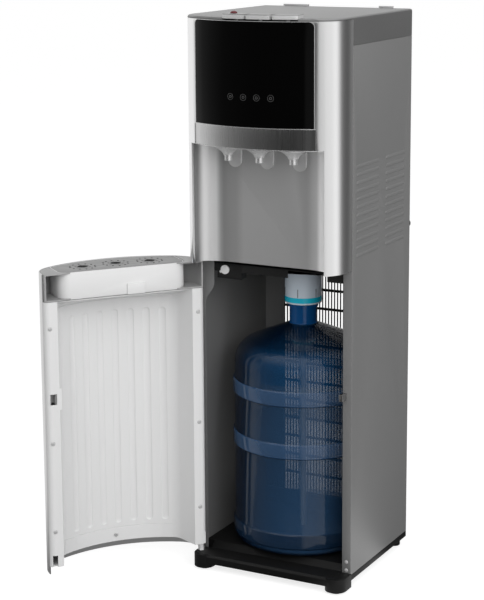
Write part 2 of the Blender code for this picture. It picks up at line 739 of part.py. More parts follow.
def make_side_panels(mats):
    left = [(-(HALF_WIDTH - HINGE_FLANGE), -HALF_DEPTH), (-HALF_WIDTH, -HALF_DEPTH),
            (-HALF_WIDTH, HALF_DEPTH), (-(HALF_WIDTH - REAR_FLANGE), HALF_DEPTH)]
    right = [(HALF_WIDTH - RIGHT_FLANGE, -HALF_DEPTH), (HALF_WIDTH, -HALF_DEPTH),
             (HALF_WIDTH, HALF_DEPTH), (HALF_WIDTH - REAR_FLANGE, HALF_DEPTH)]
    left_panel = piece("side_panel_left", prism(wall(left, -SHEET), PANEL_BOTTOM, PANEL_TOP), mats["steel"])
    narrow = -(HALF_WIDTH - LEFT_FLANGE)
    wide = -(HALF_WIDTH - HINGE_FLANGE) + OVERRUN
    blend_top = HINGE_FLANGE_LOW + HINGE_FLANGE_BLEND
    curve = []
    for i in range(CORNER_STEPS + 1):
        share = i / CORNER_STEPS
        reach = narrow + (wide - OVERRUN - narrow) * (1 - math.cos(math.pi * share)) / 2
        curve.append((reach, HINGE_FLANGE_LOW + HINGE_FLANGE_BLEND * share))
    away = [(narrow, PANEL_BOTTOM - OVERRUN)] + curve + [(wide, blend_top), (wide, PANEL_BOTTOM - OVERRUN)]
    cut(left_panel, prism(away, -HALF_DEPTH - OVERRUN, -HALF_DEPTH + 2 * SHEET, "Y"))
    cut(left_panel, boxes(louvre_slots(-1)))
    right_panel = piece("side_panel_right", prism(wall(right, SHEET), PANEL_BOTTOM, PANEL_TOP), mats["steel"])
    cut(right_panel, boxes(louvre_slots(1)))


def make_top_cover(mats):
    back = HALF_DEPTH
    plate_low = CABINET_HEIGHT - COVER_PLATE
    cover = piece("top_cover", prism(front_path(0.0, back), plate_low, CABINET_HEIGHT), mats["cover"])
    skirt = [(-HALF_WIDTH, -HALF_DEPTH), (-HALF_WIDTH, back), (HALF_WIDTH, back), (HALF_WIDTH, -HALF_DEPTH)]
    skirt_low = CABINET_HEIGHT - COVER_HEIGHT
    join(cover, prism(wall(skirt, -COVER_WALL), skirt_low, plate_low + COVER_PLATE / 2))
    slot = bow_band(KEYS_LEFT, KEYS_RIGHT, -OVERRUN, KEY_DEPTH + RUNNING_CLEARANCE)
    cut(cover, prism(slot, plate_low - OVERRUN, CABINET_HEIGHT + OVERRUN))


def panel_window(margin, low, high):
    """The control panel's front view, with round top corners."""
    half = PANEL_HALF + margin
    radius = PANEL_CORNER
    return ([(-half, low), (half, low)] + arc((half - radius, high - radius), radius, 0, 90, FILLET_STEPS)
            + arc((-half + radius, high - radius), radius, 90, 180, FILLET_STEPS))


def recess_path(grow=0.0):
    """The recess's plan from its left front edge round the back to the right, grow outside its inner face."""
    side = RECESS_HALF
    front = bow_y(RECESS_HALF + RECESS_SHEET, FASCIA_WALL) + GAP
    back = -HALF_DEPTH - RECESS_FORWARD
    wide = RECESS_CORNER
    deep = (back - front) * RECESS_CORNER_SHARE
    corner = arc((-side + wide, 0.0), wide, 180, 90, CORNER_STEPS)
    left = [(x, back - deep + y * deep / wide) for x, y in corner]
    right = [(-x, y) for x, y in reversed(left)]
    path = [(-side, front)] + left + right + [(side, front)]
    return wall(path, grow)[len(path):][::-1] if grow else path


def make_fascia(mats):
    back = -HALF_DEPTH - GAP
    ring = front_path(0.0, back) + front_path(FASCIA_WALL, back)[::-1]
    frame = piece("fascia_frame", prism(ring, FASCIA_BOTTOM, FASCIA_TOP), mats["silver"])
    floor_low = FASCIA_BOTTOM + GAP
    floor = prism(front_path(FASCIA_WALL / 2, back - GAP), floor_low, floor_low + FASCIA_FLOOR)
    join(frame, floor)
    front = BOW_FRONT - OVERRUN
    low = FASCIA_BOTTOM - OVERRUN
    grown = recess_path(RECESS_SHEET + GAP)
    cut(frame, prism(grown, low, FASCIA_BOTTOM + FASCIA_FLOOR + OVERRUN))
    window = box((-RECESS_HALF, front, low), (RECESS_HALF, grown[0][1] + GAP, RECESS_TOP))
    cut(frame, window)
    shelf = bow_band(KEYS_LEFT, KEYS_RIGHT, FASCIA_WALL / 2, KEY_DEPTH)
    join(frame, prism(shelf, KEY_SHELF - CARRIER_FLOOR, KEY_SHELF))
    pocket = STRIP_THICKNESS + GAP
    strip_pocket = bow_band(-STRIP_HALF - GAP, STRIP_HALF + GAP, -OVERRUN, pocket)
    cut(frame, prism(strip_pocket, RECESS_TOP - OVERRUN, STRIP_TOP))
    outline = bow_band(-PANEL_HALF - GAP, PANEL_HALF + GAP, -OVERRUN, pocket)
    ledge = STRIP_TOP + PANEL_MARGIN
    pocket_tool = tool(prism(outline, ledge, PANEL_EDGE + GAP), None, "panel_pocket")
    window = prism(panel_window(GAP, STRIP_TOP - GAP, PANEL_EDGE + GAP), front - OVERRUN, 0.0, "Y")
    combine(pocket_tool, tool(window, None, "panel_window"), "INTERSECT")
    combine(frame, pocket_tool, "DIFFERENCE")
    outline = bow_band(-PANEL_HALF, PANEL_HALF, 0.0, STRIP_THICKNESS)
    panel = piece("control_panel", prism(outline, ledge + GAP, PANEL_EDGE), mats["black"])
    keep(panel, prism(panel_window(0.0, STRIP_TOP, PANEL_EDGE), front, 0.0, "Y"))
    outline = bow_band(-STRIP_HALF, STRIP_HALF, 0.0, STRIP_THICKNESS)
    piece("tap_strip", prism(outline, RECESS_TOP + GAP, STRIP_TOP - GAP), mats["brushed"])


def make_recess(mats):
    top = RECESS_TOP - GAP
    roof_low = top - RECESS_SHEET
    liner = piece("recess_liner", prism(wall(recess_path(), RECESS_SHEET), FASCIA_BOTTOM, top), mats["recess"])
    inset = FASCIA_WALL + GAP
    reach = RECESS_HALF + RECESS_SHEET / 2
    xs = [-reach + 2 * reach * i / STRIP_STEPS for i in range(STRIP_STEPS + 1)]
    roof = [(x, bow_y(x, inset)) for x in xs] + recess_path(RECESS_SHEET / 2)[1:-1][::-1]
    join(liner, prism(roof, roof_low, top))
    half = GUARD_WIDTH / 2
    back = -HALF_DEPTH - RECESS_FORWARD
    low = roof_low - GUARD_HEIGHT
    for x, _ in tap_places().values():
        plate = [(x + half, top - RECESS_SHEET / 2), (x - half, top - RECESS_SHEET / 2)]
        plate += arc((x, low + half), half, 180, 360, CORNER_STEPS)
        join(liner, prism(plate, back - GUARD_THICKNESS, back + RECESS_SHEET / 2, "Y"))
    holes = [(x, y, 0.0) for x, y in tap_places().values()]
    cut(liner, rods(holes, SPIGOT_RADIUS + GAP, roof_low - OVERRUN, RECESS_TOP))


def tap_places():
    side = TAP_Y + (bow_y(TAP_PITCH) - BOW_FRONT) / 2
    return {"hot": (-TAP_PITCH, side), "room": (0.0, TAP_Y), "cold": (TAP_PITCH, side)}


def make_taps(mats):
    roof_low = RECESS_TOP - GAP - RECESS_SHEET
    spigot = roof_low - NOZZLE_TIP / 2
    for name, (x, y) in tap_places().items():
        shell = rod((x, y, 0.0), TAP_RADIUS, RECESS_TOP, RECESS_TOP + TAP_HEIGHT)
        body = piece("tap_body_" + name, shell, mats["tap"])
        join(body, rod((x, y, 0.0), SPIGOT_RADIUS, spigot, RECESS_TOP + TAP_HEIGHT / 2))
        drop = NOZZLE_CONE + NOZZLE_TIP
        bore = SPIGOT_RADIUS + GAP
        seat = GAP + NOZZLE_TIP / 2
        profile = [
            (bore, 0.0), (NOZZLE_TOP_RADIUS, 0.0), (NOZZLE_TOP_RADIUS, -NOZZLE_RIM),
            (NOZZLE_NECK_RADIUS, -NOZZLE_CONE), (NOZZLE_TIP_RADIUS, -NOZZLE_CONE), (NOZZLE_TIP_RADIUS, -drop),
            (NOZZLE_BORE, -drop), (NOZZLE_BORE, -seat), (bore, -seat),
        ]
        turned("tap_nozzle_" + name, profile, (x, y, roof_low - GAP), mats["tap"], closed=True)


def spring_points(x, y, low, high):
    """The turns of a key spring, with flat ends."""
    count = SPRING_TURNS * SPRING_SIDES
    rise = high - low - 2 * SPRING_WIRE
    points = []
    for i in range(count + 1):
        turn = 2 * math.pi * i / SPRING_SIDES
        z = low + SPRING_WIRE + rise * i / count
        points.append((x + SPRING_RADIUS * math.cos(turn), y + SPRING_RADIUS * math.sin(turn), z))
    return points


def make_keys(mats):
    for i, name in enumerate(("hot", "room", "cold")):
        start = -KEY_LEFT + i * KEY_PITCH
        middle = start + KEY_WIDTH / 2
        y = bow_y(middle, (FASCIA_WALL + KEY_DEPTH) / 2)
        guide = "key_" + name + "_guide"
        pivot(guide, (middle, y, KEY_LOW))
        outline = bow_band(start, start + KEY_WIDTH, 0.0, KEY_DEPTH, FILLET_STEPS)
        cap = piece("key_" + name, prism(outline, KEY_LOW, KEY_TOP), mats["silver"], guide)
        stem_top = KEY_LOW + KEY_HEIGHT / 2
        stem = rod((middle, y, 0.0), KEY_STEM_RADIUS, KEY_LOW - KEY_STEM, stem_top, sides=SMALL_SIDES)
        join(cap, stem, guide)
        points = spring_points(middle, y, KEY_SHELF + GAP, KEY_LOW - GAP)
        tube("key_spring_" + name, points, SPRING_WIRE, mats["tip"], 0)
    x = -KEY_LEFT + LOCK_FROM_LEFT
    y = bow_y(x, KEY_DEPTH - LOCK_RADIUS - GAP)
    pivot("child_lock_guide", (x, y, KEY_TOP), parent="key_hot_guide")
    dome = [(0.0, LOCK_HEIGHT)]
    for i in range(1, FILLET_STEPS + 1):
        turn = math.pi / 2 * i / FILLET_STEPS
        dome.append((LOCK_RADIUS * math.sin(turn), LOCK_HEIGHT * math.cos(turn)))
    dome.append((0.0, 0.0))
    turned("child_lock", dome, (x, y, KEY_TOP + GAP), mats["red"], PLUG_SIDES, "child_lock_guide")


def make_bay(mats):
    inside = HALF_WIDTH - SHEET - GAP
    front = -HALF_DEPTH + SHEET + GAP
    rear = HALF_DEPTH - SHEET - GAP
    plate_low = DECK_TOP - DECK_SHEET
    deck = piece("bay_deck", box((-inside, front, plate_low), (inside, rear, DECK_TOP)), mats["base"])
    join(deck, box((-inside, front, DECK_BOTTOM), (inside, front + DECK_LIP, plate_low + DECK_SHEET / 2)))
    far = HALF_WIDTH - LIP_NOTCH_FROM_SIDE
    cut(deck, box((far - LIP_NOTCH_WIDTH, front - OVERRUN, DECK_BOTTOM - OVERRUN),
                  (far, front + DECK_LIP + GAP, plate_low - GAP)))
    left = -inside + HANGER_LEFT
    right = left + HANGER_WIDTH
    top = plate_low - GAP
    notch_back = front + DECK_LIP + OVERRUN
    notch = box((left - GAP, front - OVERRUN, DECK_BOTTOM - OVERRUN), (right + GAP, notch_back, top))
    cut(deck, notch)
    low = top - HANGER_HEIGHT
    block = box((left, front, low), (right, front + HANGER_DEPTH, top - GAP))
    hanger = piece("probe_hanger", block, mats["base"])
    x = left + HANGER_PLUG_LEFT
    z = top - HANGER_PLUG_RADIUS - HANGER_NUB / 2
    back = front + HANGER_PLUG_DEPTH
    nub = (x - HANGER_PLUG_RADIUS, z - HANGER_PLUG_RADIUS / 2)
    cut(hanger, rod((x, 0.0, z), HANGER_PLUG_RADIUS + GAP, front - OVERRUN, back + GAP, "Y", PLUG_SIDES))
    cut(hanger, rod((nub[0], 0.0, nub[1]), HANGER_NUB + GAP, front - OVERRUN, back + GAP, "Y", SMALL_SIDES))
    disc_mesh = rod((x, 0.0, z), HANGER_PLUG_RADIUS, front - HANGER_NUB, back, "Y", PLUG_SIDES)
    disc = piece("hanger_plug", disc_mesh, mats["liner"])
    join(disc, rod((nub[0], 0.0, nub[1]), HANGER_NUB, front - HANGER_NUB, back, "Y", SMALL_SIDES))


def bottle_profile():
    """The empty bottle as (radius, height) points from its mouth down the outside and back up the inside."""
    neck = BOTTLE_NECK_RADIUS
    body = BOTTLE_RADIUS - BOTTLE_GROOVE
    body_top = BOTTLE_BODY
    neck_low = body_top + BOTTLE_SHOULDER
    mouth = neck_low + BOTTLE_NECK
    flare = BOTTLE_NECK_FLARE
    outer = [(neck, mouth), (neck, neck_low), (neck + flare, neck_low - flare)]
    middle = (body - BOTTLE_ROUND, body_top)
    outer += arc(middle, BOTTLE_ROUND, BOTTLE_ROUND_TURN, 0, SHOULDER_STEPS)
    slope = BOTTLE_GROOVE
    for share in BOTTLE_BAND_PLACE_SHARES:
        low = BOTTLE_BODY * share
        high = low + BOTTLE_BODY * BOTTLE_BAND_SHARE
        outer += [(body, high), (BOTTLE_RADIUS, high - slope), (BOTTLE_RADIUS, low + slope), (body, low)]
    foot = BOTTLE_FOOT_RADIUS
    outer += [(body - foot * inward, foot * up) for inward, up in BOTTLE_FOOT_SHARES]
    outer += [(body - 2 * foot - BOTTLE_RISE, BOTTLE_RISE), (0.0, BOTTLE_RISE)]
    t = BOTTLE_WALL
    inner = [(0.0, BOTTLE_RISE + t), (body - 2 * foot, BOTTLE_RISE + t), (body - foot, t)]
    inner.append((body - t, foot))
    inner += arc(middle, BOTTLE_ROUND - t, 0, BOTTLE_ROUND_TURN, SHOULDER_STEPS)
    inner += [(neck + flare - t, neck_low - flare - t / 2), (neck - t, neck_low - t / 2), (neck - t, mouth)]
    return outer, inner, mouth


def make_bottle(mats):
    stand = PLATFORM_HEIGHT + GAP
    place = (0.0, BOTTLE_Y, stand)
    pivot("bottle_guide", place)
    outer, inner, mouth = bottle_profile()
    turned("bottle", outer + inner, place, mats["bottle"], FINE, "bottle_guide", closed=True)
    low = mouth - CAP_RISE
    top = low + CAP_HEIGHT
    hole = DIP_TUBE_RADIUS + GAP
    bore = BOTTLE_NECK_RADIUS + GAP
    roof = mouth + GAP
    cap = [(hole, top), (CAP_RADIUS - CAP_WALL, top), (CAP_RADIUS, top - CAP_ROOF), (CAP_RADIUS, low)]
    cap += [(bore, low), (bore, roof), (hole, roof)]
    turned("bottle_cap", cap, place, mats["cap"], FINE, "bottle_guide", closed=True)
    tube_top = top + DIP_TUBE_TOP
    foot = BOTTLE_RISE + BOTTLE_WALL + DIP_TUBE_FOOT
    pipe = [(DIP_TUBE_RADIUS, tube_top), (DIP_TUBE_RADIUS, foot)]
    pipe += [(DIP_TUBE_BORE, foot), (DIP_TUBE_BORE, tube_top)]
    turned("dip_tube", pipe, place, mats["tube"], ROUND, "bottle_guide", closed=True)


def liner_fillet():
    """The middle of the rounding that leads from a leaning side wall of the liner into its bow."""
    lean = math.radians(LINER_LEAN)
    along = Vector((math.sin(lean), -math.cos(lean)))
    across = Vector((math.cos(lean), math.sin(lean)))
    start = Vector((-LINER_EDGE_X, DOOR_INNER))
    from_bow = start + across * LINER_CORNER - Vector((0.0, BOW_CENTRE))
    reach = BOW_RADIUS - LINER_INSET - LINER_CORNER
    ahead = from_bow.dot(along)
    run = -ahead + math.sqrt(ahead * ahead - from_bow.dot(from_bow) + reach * reach)
    return from_bow + along * run + Vector((0.0, BOW_CENTRE)), reach


def liner_path():
    """The door liner's plan on its inner face, from the hinge side to the free side."""
    side = HALF_WIDTH - DOOR_SIDE_GAP
    r = LINER_EDGE_RADIUS
    edge = arc((-side + r, DOOR_INNER - r), r, 180, 90, FILLET_STEPS)
    middle, reach = liner_fillet()
    turn = math.degrees(math.asin(-middle.x / reach))
    c = LINER_CORNER
    left = arc(tuple(middle), c, 180 + LINER_LEAN, 270 - turn, FILLET_STEPS)
    bow = arc((0.0, BOW_CENTRE), BOW_RADIUS - LINER_INSET, 270 - turn, 270 + turn, STRIP_STEPS)[1:-1]
    half = edge + [(-LINER_EDGE_X, DOOR_INNER)] + left
    return half + bow + [(-x, y) for x, y in reversed(half)]


def slope_mesh():
    """The liner's sloping head, from the bowed panel up and in to the drip tray's wall."""
    reach = LINER_EDGE_X + LINER_THICKNESS / 2
    near = DOOR_INNER - TRAY_SET_BACK
    form = bmesh.new()
    rings = []
    for i in range(BOW_STEPS + 1):
        x = -reach + 2 * reach * i / BOW_STEPS
        face = bow_y(x, LINER_INSET) - LINER_THICKNESS / 2
        low = LINER_TOP - LINER_SLOPE
        top = LINER_TOP - LINER_THICKNESS / 2
        section = [(near, top), (near, LINER_TOP - LINER_THICKNESS), (face, low), (face, top)]
        rings.append([form.verts.new((x, y, z)) for y, z in section])
    for a, b in zip(rings, rings[1:]):
        for k in range(len(a)):
            m = (k + 1) % len(a)
            form.faces.new((a[k], a[m], b[m], b[k]))
    form.faces.new(rings[0][::-1])
    form.faces.new(rings[-1])
    bmesh.ops.recalc_face_normals(form, faces=form.faces)
    return as_mesh(form)


def make_door(mats):
    pivot("door_pivot", (HINGE_X, HINGE_Y, 0.0), -DOOR_OPEN)
    edge = DOOR_INNER - LINER_EDGE_RADIUS
    outer = front_path(DOOR_SIDE_GAP, edge - GAP)
    inner = front_path(DOOR_SIDE_GAP + DOOR_SKIN, edge - GAP)
    piece("door_skin", prism(outer + inner[::-1], DOOR_BOTTOM, DOOR_TOP), mats["silver"], "door_pivot")
    make_liner(mats, edge)
    make_catch(mats)


def make_liner(mats, edge):
    on = "door_pivot"
    path = liner_path()
    plan = path + front_path(DOOR_SIDE_GAP + DOOR_SKIN + GAP, edge)[::-1]
    liner = piece("door_liner", prism(plan, LINER_BOTTOM, LINER_TOP), mats["liner"], on)
    hollow = wall(path, -LINER_THICKNESS)[len(path):][::-1]
    far = BOW_FRONT - OVERRUN
    hollow += [(HALF_WIDTH, edge - GAP), (HALF_WIDTH, far), (-HALF_WIDTH, far), (-HALF_WIDTH, edge - GAP)]
    cut(liner, prism(hollow, LINER_BOTTOM + LINER_THICKNESS, LINER_TOP - LINER_THICKNESS), on)
    join(liner, slope_mesh(), on)
    band = bow_band(-LINER_BAND_HALF, LINER_BAND_HALF, LINER_INSET - LINER_BAND_PROUD, LINER_INSET + GAP)
    join(liner, prism(band, LINER_BOTTOM + GAP, LINER_BOTTOM + LINER_BAND), on)
    slot = box((SLOT_LEFT, DOOR_INNER - 2 * LINER_THICKNESS, LINER_BOTTOM - OVERRUN),
               (SLOT_LEFT + SLOT_WIDTH, DOOR_INNER + OVERRUN, LINER_BOTTOM + SLOT_HEIGHT))
    cut(liner, slot, on)
    inside = -(HALF_WIDTH - DOOR_SIDE_GAP - DOOR_SKIN - GAP)
    boss_low = LOBE_HEIGHT + RUNNING_CLEARANCE
    boss_top = LINER_BOTTOM + 2 * HINGE_PIN_DEPTH
    boss_right = HINGE_X + HINGE_BOSS
    left = inside + GAP / 2
    join(liner, box((left, HINGE_Y - HINGE_BOSS, boss_low), (boss_right, HINGE_Y + HINGE_BOSS, boss_top)), on)
    web_back = DOOR_INNER - LINER_THICKNESS / 2
    web = box((left + GAP, HINGE_Y, LINER_BOTTOM + GAP), (boss_right - GAP, web_back, boss_top - GAP))
    join(liner, web, on)
    hole = HINGE_PIN_RADIUS + GAP
    pin_top = LOBE_HEIGHT + 2 * HINGE_PIN_DEPTH + RUNNING_CLEARANCE
    cut(liner, rod((HINGE_X, HINGE_Y, 0.0), hole, boss_low - OVERRUN, pin_top, sides=ROUND), on)


def make_catch(mats):
    """The slot in the door's free edge, the clip behind it, and the tongue that the clip grips."""
    on = "door_pivot"
    liner = bpy.data.objects["door_liner"]
    low = CATCH_MIDDLE - CATCH_HEIGHT / 2
    high = low + CATCH_HEIGHT
    half = CATCH_WIDTH / 2
    pad_low = CATCH_MIDDLE - CATCH_HEIGHT
    pad = box((CATCH_X - half - CATCH_PAD, DOOR_INNER - LINER_THICKNESS + GAP / 2, pad_low),
              (CATCH_X, DOOR_INNER - GAP / 2, pad_low + 2 * CATCH_HEIGHT))
    join(liner, pad, on)
    cut(liner, box((CATCH_X - half, DOOR_INNER - 2 * LINER_THICKNESS, low),
                   (CATCH_X + half, DOOR_INNER + OVERRUN, high)), on)
    grip = STRIKER_WIDTH / 2 + RUNNING_CLEARANCE
    front = DOOR_INNER - LINER_THICKNESS - GAP
    back = DOOR_INNER - CATCH_DEPTH
    block = box((CATCH_X - half, back, low), (CATCH_X + half, front, high))
    clip = piece("door_catch", block, mats["grille"], on)
    mouth_low = (CATCH_X - grip, back + CATCH_WALL, low - OVERRUN)
    mouth_high = (CATCH_X + grip, front + OVERRUN, high + OVERRUN)
    cut(clip, box(mouth_low, mouth_high), on)
    reach = CATCH_DEPTH - CATCH_WALL - 2 * RUNNING_CLEARANCE
    z = STRIKER_HEIGHT / 2
    tongue = box((CATCH_X - STRIKER_WIDTH / 2, DOOR_INNER - reach, CATCH_MIDDLE - z),
                 (CATCH_X + STRIKER_WIDTH / 2, -HALF_DEPTH - GAP, CATCH_MIDDLE + z))
    piece("catch_striker", tongue, mats["tip"])


def tray_outline(shrink):
    """The drip tray's plan, from its straight inner wall round its ends to its bowed front."""
    half = TRAY_HALF - shrink
    near = DOOR_INNER - TRAY_SET_BACK - shrink
    r = TRAY_END_RADIUS - shrink
    points = arc((half - r, near - r), r, 0, 90, FILLET_STEPS)
    points += arc((-half + r, near - r), r, 90, 180, FILLET_STEPS)
    xs = [-half + 2 * half * i / STRIP_STEPS for i in range(STRIP_STEPS + 1)]
    return points + [(x, bow_y(x, TRAY_INSET + shrink)) for x in xs]


def make_tray(mats):
    on = "tray_guide"
    top = TRAY_BOTTOM + TRAY_HEIGHT
    rest = top - GRILLE_THICKNESS - GAP
    near = DOOR_INNER - TRAY_SET_BACK
    pivot(on, (0.0, near - TRAY_END_RADIUS, TRAY_BOTTOM), parent="door_pivot")
    tray = piece("drip_tray", prism(tray_outline(0.0), TRAY_BOTTOM, top), mats["liner"], on)
    cut(tray, prism(tray_outline(TRAY_WALL + TRAY_LEDGE), TRAY_BOTTOM + TRAY_WALL, top + OVERRUN), on)
    cut(tray, prism(tray_outline(TRAY_WALL), rest, top + OVERRUN), on)
    tab_low = (-TAB_CENTRE - TAB_WIDTH / 2, near - TRAY_WALL / 2, TRAY_BOTTOM)
    tab_high = (-TAB_CENTRE + TAB_WIDTH / 2, near + TAB_DEPTH, TRAY_BOTTOM + TAB_HEIGHT)
    join(tray, box(tab_low, tab_high), on)
    grid = "grille_guide"
    pivot(grid, (0.0, near - TRAY_END_RADIUS, top), parent=on)
    low = rest + GAP
    grille = piece("drip_grille", prism(tray_outline(TRAY_WALL + GAP), low, top), mats["grille"], grid)
    small = []
    large = []
    for i in (-1, 0, 1):
        x = i * TAP_PITCH
        y = (bow_y(x, TRAY_INSET) + near) / 2
        large.append((x, y, 0.0))
        for k in range(GRILLE_RING_COUNT):
            turn = math.pi * (2 * k + 1) / GRILLE_RING_COUNT
            small.append((x + GRILLE_RING * math.cos(turn), y + GRILLE_RING * math.sin(turn), 0.0))
    cut(grille, rods(large, GRILLE_HOLE, low - OVERRUN, top + OVERRUN, sides=SMALL_SIDES), grid)
    cut(grille, rods(small, GRILLE_RING_HOLE, low - OVERRUN, top + OVERRUN, sides=HOLE_SIDES), grid)
    make_end_caps(mats)


def make_end_caps(mats):
    """The fixed corners of the door's top, outside the tray's ends, each open towards the cabinet."""
    inset = DOOR_SIDE_GAP + DOOR_SKIN + GAP
    low = TRAY_BOTTOM
    near = DOOR_INNER - CAP_SET_BACK
    on = "door_pivot"
    for name, side in (("door_cap_hinge", -1), ("door_cap_free", 1)):
        cap = piece(name, prism(front_path(inset, near), low, DOOR_TOP), mats["grille"], on)
        cut(cap, prism(tray_outline(-RUNNING_CLEARANCE), low - OVERRUN, DOOR_TOP + OVERRUN), on)
        inner = TRAY_HALF - TRAY_END_RADIUS
        straight = DOOR_INNER - TRAY_SET_BACK
        reach = HALF_WIDTH + OVERRUN
        away = [(inner, BOW_FRONT - OVERRUN), (inner, straight + RUNNING_CLEARANCE), (TRAY_HALF, near),
                (TRAY_HALF, near + OVERRUN), (-reach, near + OVERRUN), (-reach, BOW_FRONT - OVERRUN)]
        cut(cap, prism([(x * side, y) for x, y in away], low - OVERRUN, DOOR_TOP + OVERRUN), on)
        pocket = front_path(inset + CAP_SIDE_WALL, near + OVERRUN)
        cut(cap, prism(pocket, low + CAP_PLATE, DOOR_TOP - CAP_PLATE), on)
        if side < 0:
            hole = HINGE_PIN_RADIUS + RUNNING_CLEARANCE
            floor = DOOR_TOP - HINGE_PIN_DEPTH - RUNNING_CLEARANCE
            cut(cap, rod((HINGE_X, HINGE_Y, 0.0), hole, floor, DOOR_TOP + OVERRUN, sides=ROUND), on)


def make_upper_hinge(mats):
    high = FASCIA_BOTTOM - GAP
    low = high - HINGE_PLATE
    left = -HALF_WIDTH + GAP
    near = HINGE_Y - 2 * HINGE_BOSS
    plate = box((left, near, low), (left + HINGE_PLATE_WIDTH, -HALF_DEPTH - GAP, high))
    hinge = piece("hinge_bracket_upper", plate, mats["tip"])
    pin_low = DOOR_TOP - HINGE_PIN_DEPTH
    join(hinge, rod((HINGE_X, HINGE_Y, 0.0), HINGE_PIN_RADIUS, pin_low, high - HINGE_PLATE / 2, sides=ROUND))


def make_inside(mats):
    inside = HALF_WIDTH - SHEET - GAP
    front = -HALF_DEPTH + SHEET + GAP
    rear = HALF_DEPTH - SHEET - GAP
    piece("tank_shelf", box((-inside, front, SHELF_TOP - SHELF_THICKNESS), (inside, rear, SHELF_TOP)),
          mats["galvanised"])
    stand = SHELF_TOP + GAP
    cold_x = COLD_TANK_INSIDE + COLD_TANK_RADIUS
    hot_x = -(HOT_TANK_INSIDE + HOT_TANK_RADIUS)
    tanks = (("cold_tank", cold_x, COLD_TANK_RADIUS, COLD_TANK_HEIGHT, "foam"),
             ("hot_tank", hot_x, HOT_TANK_RADIUS, HOT_TANK_HEIGHT, "tank"))
    for name, x, radius, height, finish in tanks:
        r = TANK_ROUND
        profile = [(0.0, height)] + arc((radius - r, height - r), r, 90, 0, SMALL_STEPS)
        profile += arc((radius - r, r), r, 0, -90, SMALL_STEPS) + [(0.0, 0.0)]
        turned(name, profile, (x, TANK_Y, stand), mats[finish], ROUND)
    lowest = stand + TANK_ROUND + PIPE_RISE
    z = RECESS_TOP + TAP_HEIGHT / 2
    ends = {"hot": (hot_x, HOT_TANK_RADIUS, 0.0, 0), "room": (cold_x, COLD_TANK_RADIUS, -PIPE_SPREAD, 1),
            "cold": (cold_x, COLD_TANK_RADIUS, PIPE_SPREAD, 2)}
    for name, (x, y) in tap_places().items():
        tank_x, radius, aside, lane = ends[name]
        start_y = y + TAP_RADIUS + GAP
        end_y = TANK_Y - math.sqrt(radius * radius - aside * aside) - GAP
        points = pipe_route((x, start_y, z), (tank_x + aside, end_y, lowest + lane * PIPE_LANE))
        tube("pipe_" + name, points, PIPE_RADIUS, mats["tube"], 2)
    deck = DECK_TOP + GAP
    height = COMPRESSOR_HEIGHT
    r = COMPRESSOR_RADIUS
    soft = COMPRESSOR_ROUND
    can = [(0.0, height)] + arc((r - soft, height - soft), soft, 90, 0, SMALL_STEPS)
    can += [(r, COMPRESSOR_FOOT + soft), (r - soft, COMPRESSOR_FOOT / 2), (0.0, COMPRESSOR_FOOT / 2)]
    compressor = turned("compressor", can, (COMPRESSOR_X, TANK_Y, deck), mats["motor"], ROUND)
    foot_low = (COMPRESSOR_X - r, TANK_Y - r, deck)
    join(compressor, box(foot_low, (COMPRESSOR_X + r, TANK_Y + r, deck + COMPRESSOR_FOOT)))
    pump_x = -COMPRESSOR_X
    pump_z = deck + PUMP_FOOT + PUMP_RADIUS
    reach = PUMP_LENGTH / 2
    barrel = rod((pump_x, 0.0, pump_z), PUMP_RADIUS, TANK_Y - reach, TANK_Y + reach, "Y")
    pump = piece("water_pump", barrel, mats["motor"])
    seat = PUMP_SEAT / 2
    join(pump, box((pump_x - PUMP_RADIUS, TANK_Y - seat, deck),
                   (pump_x + PUMP_RADIUS, TANK_Y + seat, pump_z - PUMP_RADIUS / 2)))
    face = bow_y(BOARD_HALF, FASCIA_WALL) + GAP
    board_high = (BOARD_HALF, face + BOARD_THICKNESS, STRIP_TOP + BOARD_HEIGHT)
    piece("control_board", box((-BOARD_HALF, face, STRIP_TOP), board_high), mats["board"])


def pipe_route(start, end):
    """A smooth run from a tap back to its tank: out of the tap, up, across and into the tank's wall."""
    (x0, y0, z0), (x1, y1, z1) = start, end
    points = [(x0, y0, z0)]
    straight = 2 * PIPE_RADIUS
    for i in range(STRIP_STEPS + 1):
        share = i / STRIP_STEPS
        blend = share * share * (3 - 2 * share)
        y = y0 + straight + (y1 - y0 - 2 * straight) * share
        points.append((x0 + (x1 - x0) * blend, y, z0 + (z1 - z0) * blend))
    points.append((x1, y1, z1))
    return points


def rear_places():
    z = CABINET_HEIGHT - SWITCH_FROM_TOP
    x = -HALF_WIDTH + SWITCH_FROM_SIDE
    return {"heater": (x, z), "cooler": (x + SWITCH_PITCH, z), "inlet": (HALF_WIDTH - INLET_FROM_SIDE, z)}


